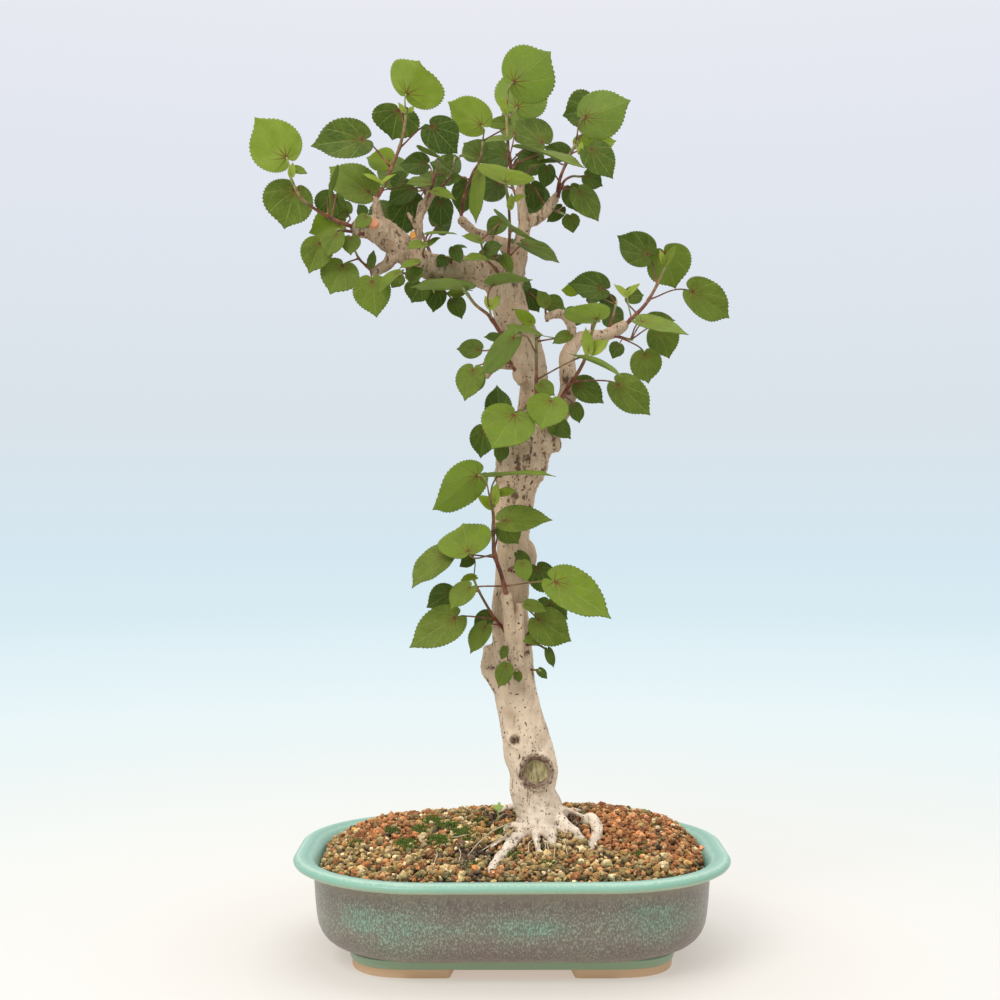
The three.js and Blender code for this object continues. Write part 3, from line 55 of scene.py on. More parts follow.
def seen(across, up, depth):
    """The place, in metres, that the eye sees at an across and up, and that lies at a depth."""
    scale = (EYE_DISTANCE + depth) / EYE_DISTANCE
    x = EYE_ACROSS + (across - EYE_ACROSS) * scale
    z = EYE_HEIGHT + (up - EYE_HEIGHT) * scale
    return Vector((x, depth, z)) * MM


lens = bpy.data.cameras.new("camera")
lens.sensor_width = SENSOR_WIDTH
lens.lens = FOCAL_LENGTH
camera = bpy.data.objects.new("camera", lens)
camera.location = Vector((EYE_ACROSS, -EYE_DISTANCE, EYE_HEIGHT)) * MM
camera.rotation_euler = (math.radians(90), 0, 0)
bpy.context.scene.collection.objects.link(camera)
bpy.context.scene.camera = camera
bpy.context.scene.view_settings.view_transform = "Standard"

# Light tent: white fabric sweeping up from a pale floor all round, glowing evenly, cream low down and
# pale blue-grey above. Its floor takes the shadows. One soft box hangs in front and one overhead.
TENT_REACH = 3.2
TENT_BEND = 1.3
TENT_HEIGHT = 5.0
BEND_STEPS = 12


def linear(code):
    """A colour written as sRGB hex, as linear light."""
    parts = [int(code[i:i + 2], 16) / 255 for i in (1, 3, 5)]
    return [c / 12.92 if c <= 0.04045 else ((c + 0.055) / 1.055) ** 2.4 for c in parts] + [1.0]


def add_node(material, kind, *values, out=0, stops=None, **settings):
    """Adds a node and gives back one of its outputs. The values go into its inputs in their order, and
    so do the settings that start with a capital letter, by name. None leaves an input as it is."""
    made = material.node_tree.nodes.new("ShaderNode" + kind)
    entries = dict(enumerate(values))
    for name, value in settings.items():
        if name[0].isupper():
            entries[name.replace("_", " ")] = value
        else:
            setattr(made, name, value)
    for name, value in entries.items():
        if isinstance(value, bpy.types.NodeSocket):
            material.node_tree.links.new(value, made.inputs[name])
        elif value is not None:
            made.inputs[name].default_value = linear(value) if isinstance(value, str) else value
    if stops:
        ramp = made.color_ramp.elements
        ramp.remove(ramp[1])
        ramp[0].position = min(stops)
        for place in stops:
            stop = ramp[0] if place == min(stops) else ramp.new(place)
            stop.color = linear(stops[place])
    return made.outputs[out]


def new_material(name):
    material = bpy.data.materials.new(name)
    material.use_nodes = True
    material.node_tree.nodes.remove(material.node_tree.nodes["Principled BSDF"])
    return material


def shown(material, shader):
    material.node_tree.links.new(shader, material.node_tree.nodes["Material Output"].inputs["Surface"])


def as_mesh(bm, name):
    mesh = bpy.data.meshes.new(name)
    bm.to_mesh(mesh)
    bm.free()
    return mesh


def as_object(bm, name):
    made = bpy.data.objects.new(name, as_mesh(bm, name))
    bpy.context.scene.collection.objects.link(made)
    return made


def smooth(bm):
    for face in bm.faces:
        face.smooth = True


sweep = bmesh.new()
last = sweep.verts.new((0, 0, 0))
bend = TENT_REACH - TENT_BEND
profile = [(0.4, 0), (0.9, 0), (1.4, 0), (bend, 0)]
for step in range(1, BEND_STEPS + 1):
    turn = math.radians(90 * step / BEND_STEPS)
    profile.append((bend + TENT_BEND * math.sin(turn), TENT_BEND - TENT_BEND * math.cos(turn)))
profile.append((TENT_REACH, TENT_HEIGHT))
for reach, height in profile:
    vert = sweep.verts.new((reach, 0, height))
    sweep.edges.new((last, vert))
    last = vert
bmesh.ops.spin(sweep, geom=sweep.verts[:] + sweep.edges[:], cent=(0, 0, 0), axis=(0, 0, 1),
               angle=2 * math.pi, steps=96, use_merge=True)
bmesh.ops.remove_doubles(sweep, verts=sweep.verts, dist=0.0001)
bmesh.ops.recalc_face_normals(sweep, faces=sweep.faces)
smooth(sweep)
tent = as_object(sweep, "light_tent")
fabric = new_material("tent fabric")
place = add_node(fabric, "TexCoord", out="Object")
x, y, z = add_node(fabric, "SeparateXYZ", place, out=slice(3))
level = add_node(fabric, "CombineXYZ", x, y)
reach = add_node(fabric, "VectorMath", level, operation="LENGTH", out="Value")
# How far out on the floor, up to the bend, and then how far up the wall, in metres.
out = add_node(fabric, "Math", reach, bend, operation="MINIMUM")
way = add_node(fabric, "Math", out, z, operation="ADD")
share = add_node(fabric, "Math", way, 4.3, operation="DIVIDE")
tint = add_node(
    fabric, "ValToRGB", share, stops={0: "#fdf3e8", 0.075: "#fdfaf4", 0.146: "#f8fbf7", 0.256: "#eef8f9",
    0.442: "#e4f3f8", 0.461: "#d9ecf3", 0.492: "#d5e7f1", 0.567: "#dae3ea", 0.721: "#e1e6ef",
    0.855: "#e9eaf2"})
dyed = add_node(fabric, "MixRGB", 1, tint, "#e3e2df", blend_type="MULTIPLY")
glow = add_node(fabric, "Emission", tint, 1)
cloth = add_node(fabric, "BsdfDiffuse", dyed)
lit = add_node(fabric, "MapRange", way, 0.25, 1.2, 0.4, 1)
both = add_node(fabric, "MixShader", lit, cloth, glow)
shown(fabric, both)
tent.data.materials.append(fabric)

for name, size, power, spot, aim in (
    ("soft_box", 1.1, 22, (-0.8, -1.3, 1.7), (0, 0, 0.4)),
    ("top_box", 1.6, 16, (0.2, 0.1, 2.1), (0, 0, 0.3)),
):
    lamp = bpy.data.lights.new(name, "AREA")
    lamp.size = size
    lamp.energy = power
    lamp_object = bpy.data.objects.new(name, lamp)
    lamp_object.location = spot
    lamp_object.rotation_euler = (Vector(aim) - Vector(spot)).to_track_quat("-Z", "Y").to_euler()
    bpy.context.scene.collection.objects.link(lamp_object)
room = bpy.data.worlds.new("room")
room.use_nodes = True
room.node_tree.nodes["Background"].inputs["Color"].default_value = linear("#eceff4")
room.node_tree.nodes["Background"].inputs["Strength"].default_value = 0.9
bpy.context.scene.world = room

# Bowl: stoneware, pressed in one piece with its rolled lip, plinth and four corner feet, glazed
# turquoise on the lip and inside and speckled brown and green outside. The feet are left bare.
RIM_HALF_LENGTH = 163
RIM_HALF_DEPTH = 123.5
RIM_CORNER = 100
CORNER_STEPS = 22
SIDE_STEPS = 16
END_STEPS = 6
FOOT_GAP_FRONT = 42
FOOT_GAP_END = 26
FOOT_SLANT = 3
DRAIN_RADIUS = 9
DRAIN_AT = (-62, 62)
FOOT_ROW = 2
# Height, inset from the rim, and the glaze there: 0 bare clay, 1 plinth, 2 body, 3 lip, 4 inside.
BOWL_OUTLINE = [
    (6, 60, 0), (6, 58.5, 0), (6, 44.6, 0), (6.3, 43.8, 0.3), (7, 43.4, 1), (9.5, 42.7, 1), (12, 42.2, 1),
    (13, 41.4, 1), (13.6, 39.2, 1.2), (14.1, 35.5, 1.7), (15.4, 30.6, 2), (17.4, 26.2, 2), (20.2, 22.9, 2),
    (24, 20.2, 2), (29, 18.2, 2), (36, 17, 2), (46, 16, 2), (57, 15.3, 2), (65, 14.9, 2), (67.6, 14.3, 2.1),
    (68.8, 13.2, 2.5), (69.4, 11, 2.7), (69.9, 6.6, 2.8), (70.6, 3, 2.87), (71.8, 0.9, 2.95),
    (73.2, -0.2, 3.02), (74.6, -0.4, 3.1), (76, 0.5, 3.18), (77.1, 2.2, 3.26), (77.8, 4.4, 3.36),
    (77.9, 7, 3.48), (77.5, 9.8, 3.6), (76.5, 12.2, 3.72), (75, 14.3, 3.84), (72.6, 16.6, 3.92),
    (69.5, 18.6, 4), (62, 20, 4), (46, 23, 4), (30, 28, 4), (20, 34, 4), (16, 41, 4), (14.5, 50, 4),
]


def bowl_stations():
    """For each place round the plan: the centre of its curve, and the way out from there."""
    flat_x = RIM_HALF_LENGTH - RIM_CORNER
    flat_y = RIM_HALF_DEPTH - RIM_CORNER
    corners = [(flat_x, flat_y), (-flat_x, flat_y), (-flat_x, -flat_y), (flat_x, -flat_y)]
    stations = []
    for quarter, (x, y) in enumerate(corners):
        for step in range(CORNER_STEPS + 1):
            angle = math.radians(90 * (quarter + step / CORNER_STEPS))
            out = (math.cos(angle), math.sin(angle))
            stations.append((x, y, out))
        next_x, next_y = corners[(quarter + 1) % 4]
        steps = SIDE_STEPS if next_y == y else END_STEPS
        for step in range(1, steps):
            share = step / steps
            stations.append((x + (next_x - x) * share, y + (next_y - y) * share, out))
    return stations


def add_piece(bm, name, materials, slot, *nodes):
    """Makes a finished mesh a piece of the object, which rides on the body and stands for CAD nodes."""
    piece = as_object(bm, name)
    for material in materials:
        piece.data.materials.append(material)
    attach(piece, "root")
    if nodes:
        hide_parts(*nodes)


def only(kind, geometry):
    return [part for part in geometry if isinstance(part, kind)]


def grow_row(bm, edges):
    """Extrudes a ring of edges. Gives back the new ring's corners, its edges and the faces between."""
    grown = bmesh.ops.extrude_edge_only(bm, edges=edges)["geom"]
    ring = only(bmesh.types.BMVert, grown)
    fresh = set(ring)
    edges = [edge for edge in only(bmesh.types.BMEdge, grown) if set(edge.verts) <= fresh]
    return ring, edges, only(bmesh.types.BMFace, grown)


bowl = bmesh.new()
station_of = bowl.verts.layers.int.new("station")
glaze_of = bowl.verts.layers.float.new("glaze")
foot_of = bowl.faces.layers.int.new("foot")
stations = bowl_stations()
ring = bmesh.ops.create_circle(bowl, cap_ends=False, radius=1, segments=len(stations))["verts"]
for number, vert in enumerate(ring):
    vert[station_of] = number
edges = bowl.edges[:]
under_edges = edges
for row, (height, inset, glaze) in enumerate(BOWL_OUTLINE):
    if row > 0:
        ring, edges, faces = grow_row(bowl, edges)
        for face in faces:
            face[foot_of] = 1 if row == FOOT_ROW else 0
    for vert in ring:
        x, y, out = stations[vert[station_of]]
        uneven = 0.25 * math.sin(0.021 * x + 3 * out[0]) * min(1, height / 60)
        # The plinth and the feet fill their corners more squarely than the bowl above.
        square = 0.13 * (2 * out[0] * out[1]) ** 2 if height < 13.5 and inset < 50 else 0
        reach = (RIM_CORNER - inset) * (1 + square)
        vert.co = Vector((x + out[0] * reach, y + out[1] * reach, height + uneven)) * MM
        vert[glaze_of] = glaze
drains = []
for glaze, ring_edges in ((BOWL_OUTLINE[0][2], under_edges), (BOWL_OUTLINE[-1][2], edges)):
    level = sum(vert.co.z for edge in ring_edges for vert in edge.verts) / (2 * len(ring_edges))
    rims = []
    for x in DRAIN_AT:
        made = bmesh.ops.create_circle(bowl, cap_ends=False, radius=DRAIN_RADIUS * MM, segments=24,
                                       matrix=Matrix.Translation((x * MM, 0, level)))
        rims.append(list({edge for vert in made["verts"] for edge in vert.link_edges}))
        for vert in made["verts"]:
            vert[glaze_of] = glaze
    drains.append(rims)
    bmesh.ops.triangle_fill(bowl, edges=ring_edges + rims[0] + rims[1], use_beauty=True)
for below, above in zip(*drains):
    bmesh.ops.bridge_loops(bowl, edges=below + above)
for axis, gap in ((0, FOOT_GAP_FRONT), (0, -FOOT_GAP_FRONT), (1, FOOT_GAP_END), (1, -FOOT_GAP_END)):
    band = [face for face in bowl.faces if face[foot_of] == 1]
    around = {part for face in band for part in (*face.verts, *face.edges)}
    cut = Vector((0, 0, 0))
    cut[axis] = gap * MM
    bmesh.ops.bisect_plane(bowl, geom=band + list(around), plane_co=cut, plane_no=cut.normalized())
soles = []
for face in bowl.faces:
    middle = face.calc_center_median() / MM
    if face[foot_of] == 1 and abs(middle.x) > FOOT_GAP_FRONT and abs(middle.y) > FOOT_GAP_END:
        soles.append(face)
grown = bmesh.ops.extrude_face_region(bowl, geom=soles)["geom"]
bmesh.ops.delete(bowl, geom=[face for face in soles if face.is_valid], context="FACES_ONLY")
for vert in only(bmesh.types.BMVert, grown):
    for axis, gap in ((0, FOOT_GAP_FRONT), (1, FOOT_GAP_END)):
        if abs(abs(vert.co[axis]) - gap * MM) < 0.01 * MM:
            vert.co[axis] += math.copysign(FOOT_SLANT * MM, vert.co[axis])
    vert.co.z = 0
soles = set(only(bmesh.types.BMFace, grown))
hem = [edge for face in soles for edge in face.edges if len(set(edge.link_faces) & soles) == 1]
bmesh.ops.bevel(bowl, geom=hem, offset=0.9 * MM, segments=2, profile=0.5, affect="EDGES", material=-1)
bmesh.ops.recalc_face_normals(bowl, faces=bowl.faces)
for face in bowl.faces:
    face.smooth = abs(face.normal.z) < 0.999

# Stoneware glaze, matt to half gloss. It runs thick and turquoise on the lip, with painted highlights along
# the lip's crest and inner edge, is dark brown in a band just under the lip's lower edge, and is a brown
# ground with falling green and pale flecks on the body.
stoneware = new_material("stoneware glaze")
place = add_node(stoneware, "TexCoord", out="Object")
zone = add_node(stoneware, "Attribute", attribute_name="glaze", out="Fac")
# Cloudy patches about 30 mm across, and flecks 0.6 mm wide, drawn out to 1 mm as they ran down.
level = add_node(stoneware, "Mapping", place, Scale=(1.0, 1.0, 2.2))
cloud = add_node(stoneware, "TexNoise", level, Scale=17, Detail=4, Roughness=0.6)
run = add_node(stoneware, "Mapping", place, Scale=(1.0, 1.0, 0.6))
fleck = add_node(stoneware, "TexNoise", run, Scale=900, Detail=3, Roughness=0.65)
curtain = add_node(stoneware, "Mapping", place, Scale=(1.0, 1.0, 0.12))
streak = add_node(stoneware, "TexNoise", curtain, Scale=420, Detail=2)
height = add_node(stoneware, "SeparateXYZ", place, out="Z")
# The green lies thickest in a belt round the middle of the body, between brown foot and shoulder.
belt = add_node(stoneware, "MapRange", height, 0, 0.08)
belted = add_node(
    stoneware, "ValToRGB", belt, stops={0.2: "#000000", 0.36: "#6a6a6a", 0.52: "#a8a8a8",
    0.68: "#9a9a9a", 0.78: "#505050", 0.84: "#000000"})
drifting = add_node(stoneware, "MapRange", cloud, 0.3, 0.7, -0.28, 0.28)
greenish = add_node(stoneware, "Math", belted, drifting, operation="ADD", use_clamp=True)
ground = add_node(stoneware, "ValToRGB", greenish, stops={0: "#6e615a", 0.4: "#6d685c", 0.8: "#647466"})
pale = add_node(
    stoneware, "ValToRGB", greenish, stops={0: "#938777", 0.3: "#969a83", 0.6: "#87a890",
    0.9: "#7aa88f"})
least = add_node(stoneware, "MapRange", greenish, To_Min=0.5, To_Max=0.43)
over = add_node(stoneware, "Math", fleck, least, operation="SUBTRACT")
sparse = add_node(stoneware, "MapRange", over, 0, 0.14)
body = add_node(stoneware, "MixRGB", sparse, ground, pale)
hang = add_node(stoneware, "Math", streak, 0.016, 0.053, operation="MULTIPLY_ADD")
low = add_node(stoneware, "Math", height, hang, operation="SUBTRACT")
veil = add_node(stoneware, "MapRange", low, -0.003, 0.004, To_Max=0.45)
curtained = add_node(stoneware, "MixRGB", veil, body, "#989278")
lip = add_node(stoneware, "ValToRGB", cloud, stops={0.35: "#74aa94", 0.65: "#84b29c"})
wander = add_node(stoneware, "Math", streak, 0.2, -0.1, operation="MULTIPLY_ADD")
edge = add_node(stoneware, "Math", zone, wander, operation="ADD")
band = add_node(stoneware, "Math", edge, 4, operation="DIVIDE")
lower = add_node(
    stoneware, "ValToRGB", band, stops={0.05: "#d3b18c", 0.09: "#969a70", 0.14: "#8aa284",
    0.3: "#8ca282", 0.36: "#aca883", 0.42: "#82746a"})
above = add_node(stoneware, "MapRange", band, 0.4, 0.47)
outer = add_node(stoneware, "MixRGB", above, lower, curtained)
# Painted highlights: the pale stops at 0.825 and 0.935 put light lines on the rolled lip's crest and inner
# edge.
brink = add_node(
    stoneware, "ValToRGB", band, stops={0.54: "#6f6359", 0.6: "#564539", 0.69: "#54443a",
    0.708: "#8b8a6c", 0.722: "#b3b490", 0.745: "#a2b89b", 0.77: "#8ab299", 0.8: "#89b29b",
    0.825: "#bbd4bc", 0.85: "#94bca5", 0.905: "#80ab96", 0.935: "#a0c5ae", 1: "#70a28e"})
lipped = add_node(stoneware, "MixRGB", 0.2, brink, lip)
top = add_node(stoneware, "MapRange", band, 0.52, 0.58)
high = add_node(stoneware, "MapRange", band, 0.72, 0.76)
lip_part = add_node(stoneware, "MixRGB", high, brink, lipped)
colour = add_node(stoneware, "MixRGB", top, outer, lip_part)
bare = add_node(stoneware, "MapRange", band, 0.06, 0.12, 0.85, 0.34)
grit = add_node(stoneware, "TexNoise", place, Scale=900, Detail=2)
skin = add_node(stoneware, "Bump", Height=grit, Strength=0.12, Distance=0.0006)
glazed = add_node(stoneware, "BsdfPrincipled", Base_Color=colour, Roughness=bare, Normal=skin, IOR=1.5)
shown(stoneware, glazed)
add_piece(bowl, "bowl", [stoneware], "glaze", "pot")

# Tree: one woody body. Its trunk stands 41 cm out of the soil, with old pruning cuts that the bark has
# rolled over, knobs, stubs and roots that grip the soil. The bark is pale, thin and corky, with brown
# pores. Rows hold across, up, depth and radius.
TRUNK = [
    (20, 44, 4, 15), (21, 70, 2, 18), (22.5, 90, 1, 20), (21.5, 103, 0, 18), (16, 119, 0, 17),
    (16.5, 134, 0, 18.2), (12.5, 150, 0, 19), (8.5, 168, 0, 17.2), (3.5, 190, 0, 16), (1, 214, 0, 15.2),
    (0, 238, 0, 15), (-1.3, 258, 0, 13.8), (1, 281, 0, 13.4), (1.5, 310, 0, 12.2), (1.4, 328, 0, 14.4),
    (4.2, 350, 0, 14.6), (6, 361, 0, 18.6), (9, 371, 0, 20), (12.8, 381, 0, 17.4), (18, 394, 0, 18.8),
    (18, 403, 0, 16), (16, 416, -1, 11), (16, 437, -1, 11), (9, 462, 0, 13), (1.5, 480, 0, 13),
    (-4, 496, 0, 14), (-7, 509, -2, 13),
]
LIMBS = {
    "leader": [(-3, 503, 0, 9), (3, 518, 0, 7.5), (6.5, 531, 0, 5.8), (8, 546, 0, 5.4), (12, 555, 3, 4.8),
               (20, 558, 8, 4.4), (29, 567, 11, 4), (36, 577, 13, 3.4)],
    "leader_twig": [(9, 549, 0, 4.4), (8, 561, 0, 4), (7, 573, -1, 3.8), (7, 585, -1, 3.4)],
    "rear_twig": [(3, 530, 2, 5), (-12, 541, 12, 4.4), (-28, 547, 21, 4.2), (-40, 558, 28, 3.6)],
    "left_branch": [(-4, 508, 0, 12), (-19, 515, -6, 11), (-35, 518, -12, 10.5), (-50, 518.5, -18, 10.3),
                    (-64, 521, -25, 10.5), (-78, 529, -32, 10.4), (-91, 540, -38, 10.2),
                    (-104, 549, -46, 9.8), (-113, 551, -51, 8), (-122, 549, -55.5, 4.6)],
    "upright_stub": [(-101, 548, -45, 4.5), (-103, 562, -46, 3.7), (-104, 575, -47, 3.2)],
    "leaning_stub": [(-74, 530, -30, 4.5), (-72, 546, -28, 3.8), (-70, 560, -25, 3.6),
        (-61.5, 578, -21, 3.2)],
    "thin_stub": [(-70, 528, -30, 2.4), (-73, 550, -35, 1.9), (-80, 563, -38, 1.6)],
    "low_stub": [(-88, 533, -38, 5), (-98, 521, -40, 4.4), (-108, 517, -42, 3.6)],
    "hook_stub": [(6, 447, 0, 4.6), (-3, 445.5, -4, 4.2), (-12, 446, -6, 4), (-17.5, 441, -6, 3.8),
                  (-21, 436, -6, 3.8)],
    "right_branch": [(24, 394, 2, 10), (34, 405, 3, 9), (41, 417, 4, 7.2), (44, 430, 6, 7),
                     (43.5, 441, 9, 6.6), (43, 453, 13, 6.4), (50, 464, 20, 6), (60, 467, 26, 5.4),
                     (70, 468, 30, 5), (80, 472, 34, 4.6), (87, 477, 38, 3.8)],
    "pale_stub": [(46, 464, 15, 4), (46, 476, 11, 3.7), (40, 484, 8, 3.5), (33, 484.5, 7, 3.4),
                  (25, 481.5, 6, 3)],
    "front_stub": [(8, 443, -6, 5), (5, 439, -12, 4.8), (9, 431, -15, 4.2)],
    "left_boss": [(-4, 196, -2, 8), (-10, 203, -3, 8), (-14.5, 213, -4, 8.4), (-17, 223, -4, 6),
                  (-19, 231, -4, 3.6)],
    "pruned_left": [(2, 212, -11, 4.6), (0, 228, -17, 4.8), (-2, 250, -23, 4.6), (-4, 270, -29.5, 4.2)],
    "pruned_right": [(6, 206, -13, 3.6), (6, 235, -18.5, 4), (6.8, 263, -20, 3.7)],
}
# A root's depth is None where it lies on the soil: it is found where the sight line meets the soil.
ROOTS = {
    "front_long": [(17, 98, -8, 8.5), (11, 89, -15, 5.4), (3, 80, None, 4.4), (-5, 70, None, 4),
                   (-13, 60, None, 3.6), (-17, 53.5, None, 2.6)],
    "right_flare": [(33, 96, -6, 9), (42, 90, -14, 6.2), (50, 84, None, 4.2), (58, 78.5, None, 2.2)],
    "loop": [(55, 93, 6, 3.6), (59, 98, 2, 4.2), (64.5, 94.5, -7, 4.6), (65.5, 86, -18, 4.4),
             (62.5, 78, -31, 4), (60, 70, None, 2.8)],
    "tie": [(28, 104, -4, 3), (40, 105.5, -6, 1.7), (49, 102, -3, 1.6), (59, 98, 2, 1.7)],
    "left_low": [(15, 97, -8, 4), (5, 93, -13, 2.2), (-3, 88, None, 1.8), (-12, 79, None, 1.4)],
    "front_buttress": [(25, 101, -11, 9), (28, 90, -19, 6.6), (31, 80, None, 4.2), (33, 71, None, 2)],
    "rear_left": [(15, 100, 12, 8), (5, 101, 34, 4.6), (-10, 100.5, 60, 2.4)],
    "rear_right": [(31, 100, 12, 8), (47, 101, 30, 4.6), (62, 100, 54, 2.4)],
    "left_thin": [(14, 106, -2, 4), (8, 108, 4, 3), (-1, 107, 8, 1.8), (-10, 103, 13, 1.6)],
    "left_lowest": [(12, 89, -14, 3), (3, 82, None, 1.8), (-8, 78, None, 1.6), (-21, 71, None, 1.3)],
    "front_fine": [(18, 99, -12, 7), (18, 87, -20, 4.4), (19, 78, None, 2.6), (21, 68, None, 1.6)],
}
# Knobs: middle and half-sizes.
KNOBS = [((12, 300, 0), (7.6, 8.5, 12)), ((-9, 361, -4), (6, 8, 7)), ((33, 385, -3), (6, 8, 7)),
         ((8, 383, -13), (9, 5, 5))]
# Pruning wounds: middle, radius, and thickness of the bark rolled over the edge.
WOUNDS = [((19, 134, -15.4), 11.8, 3.3), ((3, 158, -15.6), 4.9, 2)]
WOUND_TALL = 1.06
WOUND_FLOOR = 9.2
BARK_GRAIN = 1.15
# Heights at which old branches left the trunk, at which the crown's wood starts, and of the root base.
COLLARS = (372, 213)
CROWN_FOOT = 455
ROOT_BASE = 85

soil_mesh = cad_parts["soil"].data
soil_top = BVHTree.FromPolygons([vert.co for vert in soil_mesh.vertices],
                                [face.vertices for face in soil_mesh.polygons])


def on_soil(across, up, lift):
    """Where the sight line through a place meets the soil, raised by a lift. A sight line that misses
    the soil is drawn in towards its middle until it meets it."""
    eye = camera.location
    for step in range(40):
        inward = 1 - 0.01 * step
        way = (seen(across * inward, 50 + (up - 50) * inward, 0) - eye).normalized()
        hit = soil_top.ray_cast(eye, way)[0]
        if hit:
            return hit + Vector((0, 0, lift * MM)) - way * (lift * MM)
    raise ValueError("no soil there")


def smooth_path(points, radii, steps):
    """A curve through the points, with the radius along it."""
    ends = [points[0] * 2 - points[1], *points, points[-1] * 2 - points[-2]]
    path = []
    for i in range(len(points) - 1):
        a, b, c, d = ends[i:i + 4]
        for step in range(steps):
            t = step / steps
            spot = 0.5 * (2 * b + (c - a) * t + (2 * a - 5 * b + 4 * c - d) * t * t
                          + (3 * b - a - 3 * c + d) * t ** 3)
            path.append((spot, radii[i] * (1 - t) + radii[i + 1] * t, i + t))
    path.append((points[-1], radii[-1], len(points) - 1))
    return path


def frames_along(path):
    """A matrix for each place on a path, its Z along the path, turning as little as it can."""
    frames = []
    across = None
    for i, (spot, radius, _) in enumerate(path):
        along = (path[min(i + 1, len(path) - 1)][0] - path[max(i - 1, 0)][0]).normalized()
        if across is None:
            across = Vector((1, 0, 0)) if abs(along.z) > 0.9 else Vector((0, 0, 1))
        across = (across - along * across.dot(along)).normalized()
        over = along.cross(across)
        turn = Matrix((across, over, along)).transposed().to_4x4()
        frames.append(Matrix.Translation(spot) @ turn @ Matrix.Scale(max(radius, 0.01 * MM), 4))
    return frames


def grow_tube(bm, path, sides, shape=None):
    """Extrudes a round end along a path. A shape makes the section uneven. Gives back the rings."""
    frames = frames_along(path)
    made = bmesh.ops.create_circle(bm, cap_ends=True, radius=1, segments=sides, matrix=frames[0])
    rings = [made["verts"]]
    cap = made["verts"][0].link_faces[0]
    for i in range(1, len(frames)):
        grown = bmesh.ops.extrude_face_region(bm, geom=[cap])["geom"]
        cap = only(bmesh.types.BMFace, grown)[0]
        ring = only(bmesh.types.BMVert, grown)
        back = frames[i - 1].inverted()
        for vert in ring:
            local = back @ vert.co
            angle = math.atan2(local.y, local.x)
            radius = shape(angle, path[i][2]) if shape else 1
            vert.co = frames[i] @ Vector((radius * math.cos(angle), radius * math.sin(angle), 0))
        rings.append(ring)
    return rings


def fluted(angle, place):
    return 1 + 0.04 * (math.sin(3 * angle + 0.35 * place) + 0.6 * math.sin(5 * angle - 0.5 * place))


def grow_limb(bm, rows, sides, shape=None):
    """Grows a limb or root. A thin root runs over the loose grains and dips under them at its end."""
    points = []
    for row, (across, up, depth, radius) in enumerate(rows):
        lift = 0.35 * radius + 5 * max(0, 1 - radius / 4.5)
        if row == len(rows) - 1:
            lift = -0.5
        points.append(on_soil(across, up, lift) if depth is None else seen(across, up, depth))
    radii = [row[3] * MM for row in rows]
    grow_tube(bm, smooth_path(points, radii, 5), sides, shape)


wood = bmesh.new()
grow_limb(wood, TRUNK, 28, fluted)
for name, rows in LIMBS.items():
    stout = name.endswith("branch") or name == "leader"
    grow_limb(wood, rows, 20 if stout else 14, fluted if stout else None)
for rows in ROOTS.values():
    grow_limb(wood, rows, 12, fluted)
for at, size in KNOBS:
    knob = Matrix.Translation(seen(*at)) @ Matrix.Diagonal([half * MM for half in size]).to_4x4()
    bmesh.ops.create_icosphere(wood, subdivisions=3, radius=1, matrix=knob)
for at, radius, lip in WOUNDS:
    middle = seen(*at)
    path = []
    for step in range(31):
        angle = 2 * math.pi * step / 30
        rolled = lip * (1 + 0.16 * math.sin(3 * angle + radius) + 0.1 * math.sin(7 * angle))
        spot = middle + Vector((math.cos(angle), 0, WOUND_TALL * math.sin(angle))) * (radius * MM)
        path.append((spot, rolled * MM, step))
    grow_tube(wood, path, 12)
bmesh.ops.recalc_face_normals(wood, faces=wood.faces)
rough = as_object(wood, "rough_wood")
fusing = rough.modifiers.new("fusing", "REMESH")
fusing.mode = "VOXEL"
fusing.voxel_size = BARK_GRAIN * MM
fused = bpy.data.meshes.new_from_object(rough.evaluated_get(bpy.context.evaluated_depsgraph_get()))
bpy.data.objects.remove(rough)
bark_mesh = bmesh.new()
bark_mesh.from_mesh(fused)
for _ in range(3):
    bmesh.ops.smooth_vert(bark_mesh, verts=bark_mesh.verts, factor=0.5, use_axis_x=True, use_axis_y=True,
                          use_axis_z=True)

# Pits and creases that the bark has: across, up, radius and depth in mm.
PITS = [(-14, 214, 3, 3.2), (2.6, 157.5, 3.8, 4), (40, 434, 5, 3.5), (44, 424, 3, 2.4), (3, 345, 3.4, 1.8),
        (9.5, 344, 2.2, 1.4), (-3, 341, 2, 1), (24, 364, 3, 1.4), (15, 397, 3, 1.4), (31, 372, 3, 1.6),
        (3, 366, 2.2, 1.3), (18, 377, 2.4, 1.5), (10, 352, 1.8, 1), (38, 441, 3, 2.2), (46, 415, 2.4, 1.6),
        (-15, 236, 2.4, 1.6), (12, 225, 2.6, 1.4), (-4, 203, 3, 0.8), (-19, 203, 2.2, 1)]


def limited(value):
    return min(1, max(0, value))


def bell(value, middle, reach):
    """1 in the middle, falling off smoothly to both sides."""
    return math.exp(-((value - middle) / reach) ** 2)


def noise_at(p, fine, high, shift):
    return noise.noise(Vector((p.x * fine, p.y * fine, p.z * high)) + Vector(shift))


def as_seen(p):
    """Across and up at which the eye sees a place. All are in mm."""
    back = EYE_DISTANCE / (EYE_DISTANCE + p.y)
    return EYE_ACROSS + (p.x - EYE_ACROSS) * back, EYE_HEIGHT + (p.z - EYE_HEIGHT) * back


